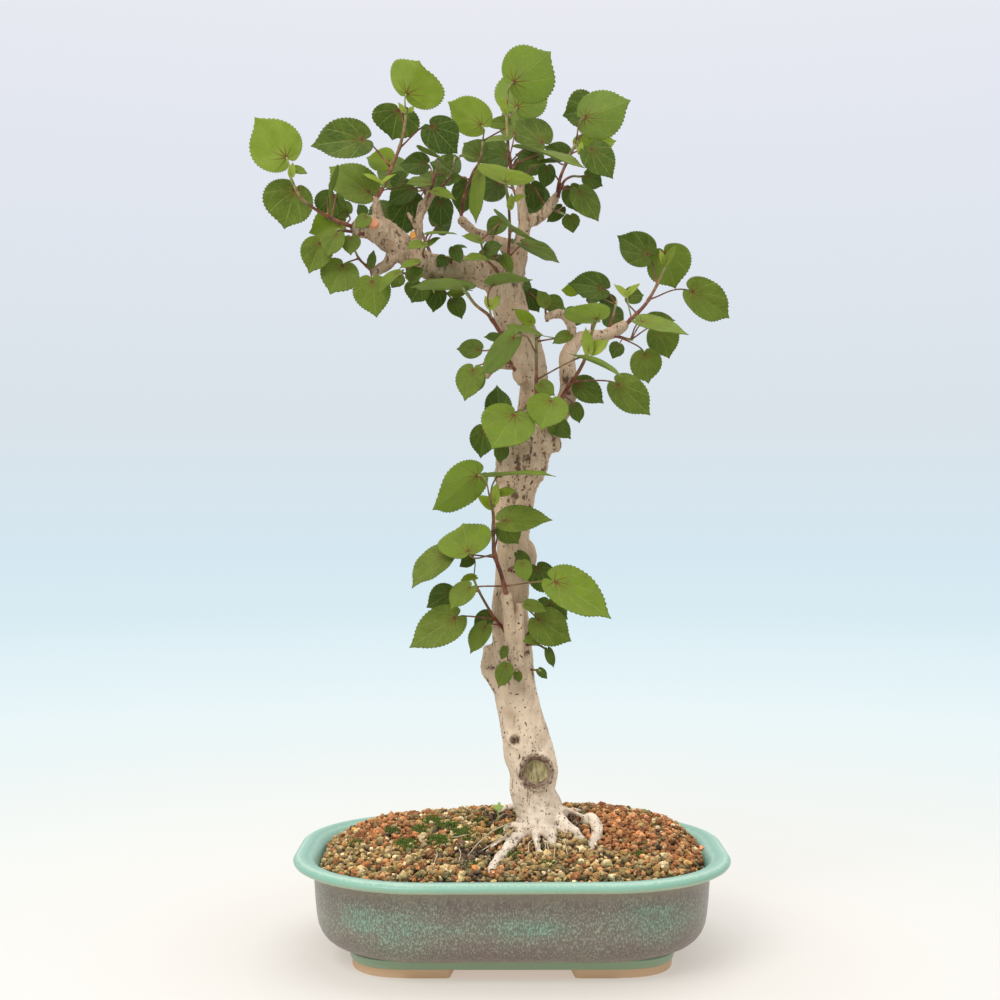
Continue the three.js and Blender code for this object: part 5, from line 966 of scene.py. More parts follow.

# Leafy shoots: young stems grown from the branches, each with heart-shaped leaves on reddish stalks. A
# shoot is one piece. Rows hold a shoot's radii at foot and tip, its stem, and its leaves: how far up the
# stem the leaf's stalk starts, where the blade joins its stalk, where its tip is, its width, how far it
# turns about its length in degrees, its tone from dark (0) to young yellow-green (1), which holds the
# leaf's age and painted light and shade, darker for leaves in shade and lighter for lit ones, and on some
# how far the blade's body leans away from its tip, in degrees.
SHOOTS = {
    "left_end": [(1.6, 1.1), [(-121, 551, -55), (-140, 559, -60), (-160, 572, -66), (-169, 588, -70)], [
        (1, -172.5, 604.5, -72, -198, 636, -84, 40, 165, .85, 8),
        (.85, -166, 580, -60, -176, 549, -54, 41, 10, .45),
        (.35, -138, 577, -70, -139, 584, -104, 37, 180, .5),
        (.3, -136, 575, -44, -142, 556, -42, 25, 10, .3),
        (1, -167, 596, -70, -156.5, 593, -70, 7, 20, .6),
        (.1, -126, 562, -38, -139, 571, -34, 17, 20, .5),
        (1, -169, 591, -76, -168, 601, -80, 6, 0, .95)]],
    "left_end_low": [(1.3, 1), [(-115, 546, -56), (-125, 548, -54), (-131, 549, -56)], [
        (1, -147, 539, -60, -155, 515.5, -62, 24, -10, .5),
        (.8, -131, 553, -46, -157, 548, -44, 30, 24, .7),
        (.7, -134, 546, -66, -142, 529, -70, 19, 14, .5),
        (.3, -123, 543, -64, -124, 530, -68, 15, 10, .45)]],
    "left_low": [(1.3, .9), [(-106, 517, -42), (-112, 522, -44), (-117, 527, -46), (-120, 533, -47)], [
        (.7, -129.5, 522, -52, -139.5, 500, -56, 31, 5, .5),
        (.15, -107, 510, -52, -104, 483, -54, 29, 5, .55),
        (.3, -108, 521.5, -54, -106, 534, -56, 7, 0, .3)]],
    "up_left": [(1.7, 1.2), [(-104, 573, -47), (-99, 581, -47), (-92, 597, -48), (-86, 612, -50),
        (-82, 628, -52), (-81, 638, -53)], [
        (1, -80.5, 653.5, -54, -69, 682, -82, 46, 180, .85, -16),
        (.85, -87, 641, -44, -93, 617, -36, 38, 5, .35),
        (.38, -113.5, 618.5, -56, -155, 616, -64, 34, 15, .35),
        (.36, -93, 602, -36, -112, 606, -32, 22, 20, .75),
        (.05, -109, 578, -34, -141, 601, -26, 32, 15, .55),
        (.62, -61.5, 628.5, -46, -41, 608, -42, 30, 10, .2),
        (.2, -100, 585, -66, -114, 593.5, -72, 8, 60, .9), (.2, -99, 585, -66, -89, 593, -70, 8, 60, .9),
        (.1, -84, 586, -40, -93, 592, -38, 15, 10, .25), (1, -82, 640, -56, -87, 647, -58, 4, 0, .9),
        (1, -78, 640, -56, -75, 644, -58, 4, 0, .9)]],
    "mid_left": [(1.3, .9), [(-63, 576, -24), (-60, 586, -24), (-57, 596, -25), (-56, 603, -26)], [
        (1, -57, 604.5, -28, -60, 609, -58, 34, 180, .5),
        (.6, -51, 592, -20, -61, 595.5, -16, 9, 20, .4), (.3, -64, 585, -36, -81, 586, -42, 15, 50, .5),
        (.1, -59, 579, -44, -42, 574, -50, 14, 50, .6), (.4, -66, 600, -14, -87, 600, -12, 19, 10, .3),
        (.1, -55, 571, -4, -54, 551, -2, 21, 5, .25)]],
    "mid_left_rear": [(1.2, .9), [(-59, 576, -18), (-52, 584, -11), (-46, 592, -8), (-44, 602, -6)], [
        (.95, -45, 603, -2, -53, 600, 0, 14, 20, .3), (.5, -46, 588, -18, -38, 590, -20, 9, 10, .35),
        (1, -38, 606, -10, -27, 603, -14, 9, 60, .5), (.15, -78, 574, 10, -86, 542, 14, 31, 10, .2),
        (.1, -76, 581, -2, -95, 570, 2, 20, 10, .25)]],
    "centre_left": [(1.6, 1.1), [(-39, 557, 28), (-36, 575, 24), (-30, 592, 20), (-24, 603, 16),
        (-22, 617, 12)], [
        (1, -23, 629, 4, -51, 647.5, -8, 30, 170, .88, -10),
        (.75, -24, 606, 26, -37, 617, 30, 22, 10, .35), (.3, -34, 585, 34, -40, 560, 40, 21, 5, .25),
        (.6, -24, 592, -2, -29.5, 555, -8, 30, 65, .7), (1, -3, 632, 20, -21, 630, 22, 11, 10, .5),
        (.5, -44, 592, 44, -62, 600, 52, 26, 165, .3)]],
    "centre_top": [(1.8, 1.2), [(7, 582, -1), (1, 592, -6), (-2, 604, -9), (-3, 617, -12),
        (-4, 640, -16)], [
        (1, 1.5, 662.5, -20, 30.5, 686, -38, 47, 170, .68, -10),
        (.9, 4, 643, 6, 13, 675, 14, 43, 175, .7), (.3, 24, 616, 2, 3, 634, 6, 28, 10, .4),
        (.6, -4, 619, -26, -21, 617, -34, 16, 60, .5), (.3, -4, 606, 10, -20, 601, 12, 18, 10, .3),
        (.35, 10, 611, -22, 56, 602, -44, 34, 75, .5), (.1, 18, 604, 8, 3, 608, 10, 14, 10, .3),
        (.95, -5, 640, -24, -8, 651, -28, 6, 0, .9), (.95, 0, 640, -22, 4, 644, -26, 5, 30, .8)]],
    "front_mid": [(1.6, 1.1), [(-1, 521, -7), (-2.5, 530, -18), (-1.5, 545, -28), (-2, 565, -38),
        (-4.5, 585, -50)], [
        (1, -5, 586, -54, -3.5, 600, -88, 43, 180, .95, 0), (.45, 1, 549, -34, 2, 556, -66, 40, 180, .6),
        (.15, 10, 538, -28, 38, 526, -30, 26, 55, .4), (.15, -19, 533, -30, -7, 538, -34, 13, 20, .25),
        (.1, -7, 529, -22, 1, 516, -26, 10, 10, .45), (.8, -1, 566, -46, 0, 577, -50, 6, 0, 1),
        (.85, 1, 572, -48, 11, 575.5, -52, 7, 40, 1)]],
    "front_mid_left": [(1.4, .9), [(-8, 513, -12), (-14, 521, -22), (-20, 528, -28), (-24, 541, -32)], [
        (1, -24, 541, -36, -38, 545, -42, 14, 55, .55), (.6, -21, 527, -40, -38, 528, -48, 15, 60, .6),
        (1, -8, 556, -14, -19, 546, -18, 16, 10, .35)]],
    "trunk_front": [(1.9, 1.3), [(-8, 469, -9), (-13, 477, -17), (-18, 484, -23), (-28, 492, -31),
        (-36, 503, -38)], [
        (1, -36, 504, -40, -80, 510, -56, 36, 98, .65),
        (.35, -14, 507.5, -50, 16, 513.5, -62, 30, 98, .5),
        (.9, -38, 501, -26, -50, 501, -24, 9, 20, .6), (.3, -17, 490, -34, -20.5, 499, -36, 5, 0, 1),
        (.3, -16, 490, -34, -9, 499, -38, 7, 10, 1)]],
    "limb_under": [(1.2, .9), [(-60, 515, -20), (-61, 509, -22), (-60, 504, -22)], [
        (.7, -70, 507, -26, -77, 493.5, -28, 23, 16, .35), (1, -56, 503, -26, -60, 486, -28, 17, 5, .3),
        (.3, -45, 495, -10, -37.5, 480.5, -8, 15, 10, .35)]],
    "limb_front_a": [(1.2, .9), [(-66, 526, -33), (-68, 531, -44), (-66, 537, -50)], [
        (1, -67, 538, -54, -80, 536, -62, 13, 50, .6), (1, -64, 538, -54, -55, 544, -60, 8, 50, .6),
        (1, -64, 546, -52, -42, 547.5, -60, 16, 75, .55)]],
    "limb_front_b": [(1.2, .9), [(-80, 522, -38), (-80, 515, -48), (-79, 511, -52)], [
        (.6, -87, 516.5, -54, -104, 502.5, -62, 16, 55, .55),
        (1, -78, 511.5, -57, -68, 520, -60, 13, 15, .35), (.6, -86, 514, -46, -92, 505, -46, 13, 5, .4),
        (.3, -72, 525, -58, -86, 521, -64, 10, 50, .55)]],
    "limb_front_c": [(1.1, .8), [(-47, 519, -20), (-46, 526, -30), (-44, 534, -34)], [
        (.6, -51, 528, -34, -57, 521, -36, 11, 10, .3), (1, -44, 535, -38, -39, 523, -40, 11, 5, .3),
        (1, -44, 536, -40, -34, 536.5, -46, 8, 60, .35)]],
    "limb_end_front": [(1.1, .9), [(-112, 552, -58), (-112, 557, -67)], [
        (1, -111, 559, -70, -120, 551, -74, 12, 10, .55),
        (1, -113, 561, -66, -118, 568.5, -66, 9, 0, .25)]],
    "top_right": [(1.8, 1.2), [(35, 576, 13), (37, 588, 10), (43, 603, 6), (49, 615, 2)], [
        (1, 56, 635.5, -6, 92, 649, -16, 38, 170, .62, -14), (1, 61, 641, 14, 38, 638, 16, 32, 10, .35),
        (.8, 61, 611.5, -6, 78, 588.5, -10, 26, 5, .35), (1, 53, 612, 20, 56, 624, 24, 15, 5, .85),
        (.9, 62, 614, 16, 80.5, 618, 18, 17, 10, .9), (.6, 42, 606, 22, 24, 614, 26, 17, 15, .35),
        (.6, 35, 602, -18, 12, 600, -30, 16, 65, .55), (1, 52, 608, -6, 54, 617, -8, 5, 0, 1)]],
    "top_right_low": [(1.4, 1), [(36, 576, 10), (40, 586, 8), (46, 590, 10), (52, 590, 12)], [
        (1, 57, 590.5, 14, 71, 583, 16, 16, 5, .3), (.2, 52, 579, 0, 66, 556, -6, 23, 15, .4),
        (.2, 45, 581, 24, 50, 563, 28, 19, 5, .35), (.3, 27, 597, 22, 25, 580, 26, 14, 0, .25)]],
    "top_right_under": [(1.2, .9), [(27, 563, 13), (32, 564, 22), (38, 562, 26)], [
        (1, 45, 559.5, 28, 47, 547, 28, 15, 0, .4), (.8, 38, 566, 32, 27, 555, 34, 12, 0, .25),
        (.2, 15, 583, 22, 19, 562, 26, 19, 0, .2)]],
    "right_end": [(1.9, 1.2), [(88, 477, 39), (100, 489, 46), (106, 497, 52), (113, 510, 58),
        (118, 521, 62)], [
        (.72, 105, 530, 62, 81, 545, 60, 31, 10, .35), (1, 117, 532, 72, 127, 504.5, 80, 41, 8, .55),
        (.48, 138, 502, 84, 171, 481, 98, 33, 8, .5), (.2, 89, 498, 54, 102, 500, 58, 16, 10, .35),
        (.1, 88, 499, 34, 79, 508, 30, 7, 30, 1), (.1, 89, 500, 34, 98, 508.5, 30, 6, 30, 1),
        (1, 118, 524, 60, 126, 538, 58, 7, 10, .7), (1, 116, 524, 62, 114, 534, 60, 5, 0, 1)]],
    "right_low": [(1.3, 1), [(80, 467.5, 33), (91, 465, 42)], [
        (1, 99, 479, 32, 136, 470, 20, 31, 60, .6), (1, 112, 473, 54, 122.5, 450, 58, 28, 5, .45),
        (.3, 102, 454, 46, 106, 430.5, 50, 27, 5, .5), (1, 107, 481, 66, 127, 480, 72, 13, 20, .4),
        (.5, 82, 461, 32, 77, 450.5, 32, 13, 5, .3)]],
    "right_mid": [(1.4, 1), [(72, 468, 30), (77, 480, 32), (80, 492, 32)], [
        (1, 71, 504, 34, 43, 510, 32, 25, 15, .3), (.7, 78, 494, 42, 65, 497, 46, 12, 10, .25),
        (1, 50, 503, 46, 38, 503, 48, 11, 5, .8)]],
    "right_stub": [(1.2, .9), [(27, 481, 6), (26, 487, 4), (27, 491, 3)], [
        (1, 27, 492, 0, 20, 503, -2, 12, 10, .5), (1, 28, 493, 8, 42, 489, 10, 16, 10, .4),
        (.8, 13, 501, 10, 21, 485.5, 12, 17, 5, .25)]],
    "fork_stem": [(2, 1.3), [(37, 417, -5), (43, 428, -12), (50, 438, -16), (57, 452, -20),
        (60, 465, -22), (64, 478, -24)], [
        (1, 66, 481, -26, 40, 491, -48, 34, 118, .85), (.65, 59, 456, -30, 57, 475, -34, 9, 5, .95),
        (.65, 61, 456, -30, 74, 465, -36, 11, 10, .95), (.3, 51, 431, -10, 70, 416, -12, 21, 5, .35),
        (.3, 81, 431, -20, 106.5, 408, -24, 28, 5, .45),
        (.1, 48, 414.5, -6, 52, 400.5, -4, 12, 0, .35)]],
    "front_right": [(1.8, 1.2), [(19, 416, -11), (19, 430, -22), (19, 445, -28), (19, 466, -34)], [
        (1, 22, 468.5, -38, -3, 475, -62, 36, 76, .6), (.4, 52, 451.5, -34, 87, 440.5, -50, 30, 80, .6),
        (.8, 2, 467, -50, -27, 437, -62, 22, 140, .6), (.25, 22, 431, -36, 33, 422, -40, 13, 10, .5),
        (.95, 44, 469, -32, 31, 463, -36, 12, 30, .4), (.7, 15, 478, -24, 2, 489, -22, 11, 20, .8),
        (.1, 30, 418.5, -40, 23, 396.5, -50, 33, 10, .65)]],
    "front_left": [(1.7, 1.1), [(3, 441, -13), (-2, 449, -22), (-6, 459, -28)], [
        (1, -6, 465, -40, -21, 468, -46, 12, 50, .3), (1, -25, 457, -20, -43, 458, -16, 16, 10, .4),
        (.5, -29.5, 442, -36, -36.5, 417.5, -38, 24, 25, .5),
        (.4, -26, 440, -22, -28, 423.5, -20, 15, 5, .5)]],
    "trunk_left_low": [(1.4, 1.1), [(12, 414, -12), (8, 411, -23)], [
        (1, 2, 407.5, -44, -15, 382.5, -58, 43, 15, .65), (.5, -8, 403, -18, -12, 431, -14, 22, 0, .3),
        (.8, -21, 396, -26, -24.5, 373.5, -24, 20, 0, .35),
        (.7, -7, 383, -27, -10, 370.5, -28, 12, 0, .35)]],
    "trunk_right_low": [(1.2, .9), [(29, 404, -10), (33, 404, -17)], [
        (1, 33, 402.5, -20, 46, 388.5, -18, 15, 5, .35), (.7, 30, 401, -22, 31, 391, -24, 6, 0, .4)]],
    "lower_front": [(2.1, 1.4), [(-4, 269, -30), (-8, 285, -33), (-13, 300, -36), (-14, 315, -39),
        (-14, 330, -42), (-15.5, 340, -44)], [
        (1, -26, 361, -50, -64, 335.5, -66, 40, 140, .75, 10),
        (.75, -10.5, 360.5, -52, 33, 364.5, -66, 44, 88, .6),
        (1, -13, 341, -52, -12, 355, -56, 8, 10, .95), (1, -9, 347, -54, 3, 349.5, -58, 8, 30, .95),
        (1, -15, 337, -54, -26, 346, -60, 9, 20, .85), (.7, -6, 326, -56, 31.5, 329, -62, 24, 35, .5),
        (.5, -6, 323, -46, 6, 308, -48, 20, 5, .4),
        (.45, -33, 302.5, -58, -38.5, 325.5, -34, 42, 0, .65),
        (.42, -50, 301, -60, -79, 276.5, -74, 28, 45, .5),
        (.1, 33, 279.5, -56, 79, 252.5, -60, 40, 40, .65),
        (.1, -32, 275, -58, -48, 259.5, -66, 22, 45, .55)]],
    "lower_left": [(1.5, 1), [(-6, 243, -17), (-14, 253, -26), (-24, 270, -32), (-29, 281, -34)], [
        (.25, -43, 252, -44, -77.5, 229.5, -54, 31, 20, .5),
        (.8, -46, 271, -36, -65, 260, -38, 22, 15, .35),
        (.1, -20, 245, -38, -32.5, 224.5, -44, 16, 20, .5),
        (.1, -17, 254, -14, -30, 243, -14, 14, 10, .3), (1, -28, 283, -40, -39, 281, -46, 8, 50, .8),
        (1, -30, 297, -34, -40, 291, -34, 10, 10, .3)]],
    "lower_mid": [(1.2, .9), [(-1, 289, -14), (3, 292, -24)], [
        (1, 5, 301, -28, 16, 291, -32, 9, 20, .35), (.8, 8, 294, -36, 12, 279.5, -40, 14, 10, .6),
        (.5, 20, 290, -22, 32, 270.5, -20, 22, 5, .3)]],
    "lower_right": [(1.5, 1), [(11, 236, -9), (15, 243, -16), (19, 252, -20)], [
        (1, 11, 262, -28, 27, 257, -32, 11, 30, .6), (1, 29, 262, -16, 44, 250.5, -14, 17, 10, .4),
        (.6, 20, 251, -6, 46, 233.5, -4, 30, 5, .45), (.3, 20, 234, -34, 6, 237, -38, 9, 40, .6),
        (1, 27, 263, -24, 20, 266, -24, 8, 10, .3)]],
    "lower_right_sprig": [(1.1, .9), [(12, 231, -10), (20, 231, -14), (26, 228, -15)], [
        (1, 28, 227, -15, 32.5, 213, -15, 8, 20, .3)]],
    "right_sprig": [(1.2, .9), [(14, 212, -8), (20, 211.5, -12)], [
        (1, 21, 212, -13, 27.5, 205, -14, 7, 10, .3)]],
    "front_sprig": [(1.1, .9), [(-2, 219, -15), (-3, 218, -25)], [
        (1, -4, 215, -30, -10, 198.5, -32, 14, 0, .45), (.8, -5, 229, -27, -8, 219.5, -29, 7, 0, .4)]],
    "front_sprig_low": [(1, .8), [(4, 212, -15), (4, 211, -21)], [
        (1, 4, 210, -23, 6, 202, -24, 7, 0, .4)]],
    "back_top": [(1.7, 1.2), [(8, 556, 8), (6, 568, 26), (0, 584, 44), (-6, 600, 56)], [
        (1, -6, 610, 62, -26, 602, 76, 28, 160, .35), (.8, 8, 604, 60, 24, 592, 74, 28, 160, .35),
        (.6, -10, 585, 52, -30, 576, 68, 26, 160, .3), (.4, 14, 575, 42, 30, 564, 58, 26, 160, .3),
        (.9, 2, 622, 64, 8, 648, 72, 30, 170, .5)]],
    "back_left": [(1.6, 1.1), [(-60, 526, -10), (-66, 540, 8), (-74, 560, 22), (-80, 578, 30)], [
        (1, -84, 590, 34, -104, 602, 44, 28, 165, .4), (.8, -66, 580, 34, -52, 592, 48, 26, 165, .35),
        (.6, -92, 562, 26, -112, 556, 32, 26, 160, .3), (.3, -58, 552, 24, -46, 562, 38, 22, 160, .3)]],
    "back_mid": [(1.6, 1.1), [(3, 478, 9), (-2, 490, 28), (-8, 505, 44), (-10, 520, 54)], [
        (1, -12, 528, 58, -28, 522, 70, 24, 160, .35), (.7, 2, 508, 50, 14, 498, 62, 20, 160, .3),
        (1, -4, 530, 58, 8, 538, 70, 22, 165, .35)]],
    "back_right": [(1.4, 1), [(60, 466, 30), (62, 478, 46), (60, 490, 58)], [
        (1, 58, 498, 62, 70, 512, 74, 22, 165, .35), (.8, 52, 486, 58, 44, 476, 70, 20, 160, .3),
        (.5, 74, 484, 52, 86, 478, 64, 20, 160, .35)]],
    "back_low": [(1.3, 1), [(2, 306, 12), (0, 316, 26), (-4, 328, 34)], [
        (1, -4, 336, 40, 4, 356, 46, 24, 170, .4), (.7, 2, 322, 38, -2, 304, 44, 24, 170, .4)]],
}
# To keep leaves clear of each other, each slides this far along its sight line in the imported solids.
SLIDES = [0, -4, 4, -8, 8, -12, 12, -16, 16, -20, 20, -24, 24, -28, 28, -32, 32]
SOLID_THICKNESS = 0.8
BLADE_THICKNESS = 0.42
HEART_WIDTH = 1.1
STEM_SINK = 2.2
TOOTH = 0.014
# Least blade length in mm, teeth round the edge, and shares of the outline that the rings lie at.
SMALL_LEAF = 13
BLADE_KINDS = [(26, 60, (1, 0.955, 0.82, 0.64, 0.44, 0.22)),
               (SMALL_LEAF, 42, (1, 0.94, 0.74, 0.48, 0.22)), (0, 16, (1, 0.85, 0.5))]
# Main veins leave the stalk's end at these angles from the tip, on both sides, in radians.
VEINS = (0, 0.56, 1.15, 1.9)


def heart(angle, lean=0):
    """The outline's distance from the stalk's end, at an angle from the tip, for a blade of length 1. A
    leaning blade has its body turned beside the line to its drawn-out tip."""
    body = angle - lean
    tip = 0.17 * math.exp(-abs(angle) / 0.12)
    notch = 0.13 * bell(abs(angle), math.pi, 0.35)
    return 0.43 + 0.335 * math.cos(body) + 0.065 * math.cos(body) ** 2 + tip - notch


def new_foliage():
    """An empty mesh with what the leaf and stem finishes read, and its map of the blade."""
    bm = bmesh.new()
    for name in ("under", "rim", "tone_and_light", "young"):
        bm.verts.layers.float.new(name)
    return bm, bm.loops.layers.uv.new("blade")


def blade_kind(teeth, shares):
    """A flat toothed blade with an upper and a lower skin, as a mesh to be bent for every leaf."""
    bm, blade_map = new_foliage()
    rim_of = bm.verts.layers.float["rim"]
    under_of = bm.verts.layers.float["under"]
    ring = bmesh.ops.create_circle(bm, cap_ends=False, radius=1, segments=2 * teeth)["verts"]
    edges = bm.edges[:]
    for row, share in enumerate(shares):
        if row > 0:
            ring, edges, _ = grow_row(bm, edges)
        for vert in ring:
            angle = math.atan2(vert.co.x, vert.co.y)
            step = round(angle / math.pi * teeth)
            notched = 0 if abs(angle) < 0.12 else TOOTH * (1 if step % 2 else -1)
            reach = share * heart(angle) + (notched if row == 0 else 0)
            vert.co = Vector((math.sin(angle), math.cos(angle), 0)) * reach
            vert[rim_of] = share
    middle = bm.faces.new(sorted(ring, key=lambda vert: math.atan2(vert.co.x, vert.co.y)))
    bmesh.ops.poke(bm, faces=[middle])
    bmesh.ops.recalc_face_normals(bm, faces=bm.faces)
    if bm.faces[:][0].normal.z < 0:
        bmesh.ops.reverse_faces(bm, faces=bm.faces[:])
    rim = [edge for edge in bm.edges if edge.is_boundary]
    copy = bmesh.ops.duplicate(bm, geom=bm.verts[:] + bm.edges[:] + bm.faces[:])
    lower = only(bmesh.types.BMFace, copy["geom"])
    bmesh.ops.reverse_faces(bm, faces=lower)
    for vert in only(bmesh.types.BMVert, copy["geom"]):
        vert[under_of] = 1
        vert.co.z = -0.01
    lower_rim = [edge for edge in only(bmesh.types.BMEdge, copy["geom"]) if edge.is_boundary]
    bmesh.ops.bridge_loops(bm, edges=rim + lower_rim)
    bmesh.ops.recalc_face_normals(bm, faces=bm.faces)
    smooth(bm)
    for face in bm.faces:
        face.material_index = 1
        for loop in face.loops:
            loop[blade_map].uv = (0.5 + 0.5 * loop.vert.co.x, 0.5 + 0.5 * loop.vert.co.y)
    return as_mesh(bm, "blade_kind")


def leaf_place(row, slide):
    """A leaf's stalk end, its directions along, across and out of the blade, its length and its
    stretch across."""
    _, joint_x, joint_z, joint_y, tip_x, tip_z, tip_y, width, turn, _, *_ = row
    joint = seen(joint_x, joint_z, joint_y + slide)
    tip = seen(tip_x, tip_z, tip_y + slide)
    length = (tip - joint).length
    along = (tip - joint).normalized()
    front = (Vector((0, -1, 0)) + along * along.y).normalized()
    lift = along.cross(front)
    if lift.z < 0:
        lift = -lift
    angle = math.radians(turn)
    normal = front * math.cos(angle) + lift * math.sin(angle)
    return joint, along, along.cross(normal), normal, length, width * MM / (HEART_WIDTH * length)


def slide_of(row, tree):
    """The slide at which the leaf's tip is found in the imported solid, or 0 for one that isn't there."""
    best = (0.6 * MM, 0)
    for slide in SLIDES:
        joint, along, _, normal, length, _ = leaf_place(row, slide)
        rise = -0.1 + 0.035 * math.sin(joint.x / MM)
        for side in (-0.5, 0.5):
            tip = joint + along * length + normal * (length * rise + side * SOLID_THICKNESS * MM)
            best = min(best, (tree.find(tip)[2], slide))
    return best[1]


def along_stem(points, share):
    """The place at a share of a stem's length."""
    lengths = [(b - a).length for a, b in zip(points, points[1:])]
    left = share * sum(lengths)
    for a, b, length in zip(points, points[1:], lengths):
        if left <= length:
            return a.lerp(b, left / length)
        left -= length
    return points[-1].copy()


def bend_blade(verts, row, place, chance):
    """Bends new blade vertices into a leaf: folded along its middle, drooping to its tip and wavy."""
    joint, along, side, normal, length, stretch = place
    sway = chance.uniform(-0.03, 0.03)
    curl = chance.uniform(-0.03, 0.05)
    ripple = chance.uniform(0.006, 0.016)
    phase = chance.uniform(0, 6)
    lean = math.radians(row[10]) if len(row) > 10 else chance.uniform(-0.14, 0.14)
    for vert in verts:
        x, y = vert.co.x, vert.co.y
        reach = math.hypot(x, y)
        angle = math.atan2(x, y)
        uneven = 1 + 0.02 * math.sin(2 * angle + phase) + 0.012 * math.sin(5 * angle + 2 * phase)
        uneven *= heart(angle, lean) / heart(angle)
        x = x * stretch * uneven + sway * y * y
        y = y * uneven
        between = min(abs(abs(angle) - vein) for vein in VEINS)
        puff = 0.05 * reach * min(between, 0.3) * (1 - 0.6 * reach)
        wave = 0.035 * math.sin(3 * angle + joint.x / MM) * reach
        edge = ripple * math.sin(11 * angle + phase) * reach ** 3
        soft = math.sqrt(x * x + 0.0006) - 0.024
        rise = 0.17 * soft - 0.1 * y * abs(y) + wave + puff + edge + curl * reach ** 3
        flat = joint + side * (x * length) + along * (y * length)
        vert.co = flat + normal * (rise * length - vert[under_of] * BLADE_THICKNESS * MM)
        vert[tone_and_light_of] = row[9]


def grow_stalk(bm, row, place, start):
    """The leaf's stalk, from the blade back to the stem, thicker at both ends."""
    joint, along, _, normal, length, _ = place
    reach = (joint - start).length
    near = joint - along * (0.28 * reach) - normal * (0.22 * reach)
    far = start.lerp(joint, 0.3)
    first = joint - normal * (0.3 * MM)
    large = length > SMALL_LEAF * MM
    thick = (0.72 if large else 0.5) * MM
    steps = 10 if large else 6
    path = []
    for step in range(steps + 1):
        t = step / steps
        spot = (first * (1 - t) ** 3 + near * (3 * t * (1 - t) ** 2) + far * (3 * t * t * (1 - t))
                + start * t ** 3)
        swollen = 0.4 * bell(t, 0, 0.08) + 0.45 * bell(t, 1, 0.1)
        path.append((spot, thick * (0.88 + swollen), t))
    rings = grow_tube(bm, path, 7)
    for ring, (_, _, t) in zip(rings, path):
        for vert in ring:
            # A stalk's green follows its leaf's tone, so it carries that leaf's painted light too.
            vert[young_of] = max(0.0, (row[9] - 0.55) * 1.6) * (1 - 0.5 * t) + 0.3 * (1 - t) * row[9]


def grow_stem(bm, radii, points, starts):
    """A stem, its foot sunk in the bark, swollen where the stalks start, with a bud at its tip."""
    foot = points[0] + (points[0] - points[1]).normalized() * (STEM_SINK * MM)
    thick, thin = radii
    path = smooth_path([foot, *points], [0] * (len(points) + 1), 6)
    swollen = []
    for spot, _, at in path:
        share = max(at - 1, 0) / (len(points) - 1)
        radius = 0.84 * (thick + (thin - thick) * share) * MM
        nodes = sum(bell((spot - start).length, 0, 1.5 * MM) for start in starts)
        flare = bell((spot - foot).length, 0, 3 * MM)
        swollen.append((spot, radius * (1 + 0.3 * min(nodes, 1) + 0.5 * flare), share))
    rings = grow_tube(bm, swollen, 10)
    for ring, (_, _, share) in zip(rings, swollen):
        for vert in ring:
            vert[young_of] = 0.55 * share ** 3
    bud_way = (points[-1] - points[-2]).normalized()
    add_bud(bm, points[-1] + bud_way * (1.2 * MM), bud_way, 2.2, 0.9)
    for start in starts[:6]:
        beside = start + bud_way * (1.6 * MM) + (start - along_stem(points, 0.5)).normalized() * (0.4 * MM)
        add_bud(bm, beside, bud_way, 1.2, 0.7)


def add_bud(bm, spot, way, half, wide):
    """A pointed bud, wrapped in small scales."""
    size = Matrix.Diagonal((wide * MM, wide * MM, half * MM, 1))
    made = bmesh.ops.create_uvsphere(bm, u_segments=8, v_segments=6, radius=1,
                                     matrix=turned_to(spot, way) @ size)
    for vert in made["verts"]:
        vert[young_of] = 0.85


blade_meshes = [(least, blade_kind(teeth, shares)) for least, teeth, shares in BLADE_KINDS]
shoot_meshes = {}
for name, (radii, stem, leaves) in SHOOTS.items():
    bm = new_foliage()[0]
    young_of = bm.verts.layers.float["young"]
    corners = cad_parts["shoot_" + name].data.vertices
    tree = kdtree.KDTree(len(corners))
    for number, corner in enumerate(corners):
        tree.insert(corner.co, number)
    tree.balance()
    points = [seen(*spot) for spot in stem]
    places = [leaf_place(row, slide_of(row, tree)) for row in leaves]
    starts = [along_stem(points, row[0]) for row in leaves]
    grow_stem(bm, radii, points, starts)
    for row, place, start in zip(leaves, places, starts):
        grow_stalk(bm, row, place, start)
    smooth(bm)
    chance = random.Random("leaves " + name)
    for row, place in zip(leaves, places):
        kind = next(mesh for least, mesh in blade_meshes if place[4] > least * MM)
        before = len(bm.verts)
        bm.from_mesh(kind)
        bm.verts.ensure_lookup_table()
        under_of = bm.verts.layers.float["under"]
        tone_and_light_of = bm.verts.layers.float["tone_and_light"]
        bend_blade(bm.verts[before:], row, place, chance)
    bmesh.ops.recalc_face_normals(bm, faces=bm.faces)
    shoot_meshes[name] = bm

# Young bark: smooth and thin, red-brown where the sun reached it, green at the tips, with pale dots.
young_bark = new_material("young red bark")
place = add_node(young_bark, "TexCoord", out="Object")
age = add_node(young_bark, "Attribute", attribute_name="young", out="Fac")
patchy = add_node(young_bark, "TexNoise", place, Scale=170, Detail=3)
red = add_node(young_bark, "ValToRGB", patchy, stops={0.3: "#4d2116", 0.5: "#743322", 0.7: "#8f5935"})
green = add_node(young_bark, "MixRGB", age, red, "#9db268")
dots = add_node(young_bark, "TexVoronoi", place, Scale=700)
dotted = add_node(young_bark, "MapRange", dots, 0.2, 0.1, To_Max=0.5)
flecked = add_node(young_bark, "MixRGB", dotted, green, "#c9a583")
smooth_skin = add_node(young_bark, "BsdfPrincipled", Base_Color=flecked, Roughness=0.55)
shown(young_bark, smooth_skin)

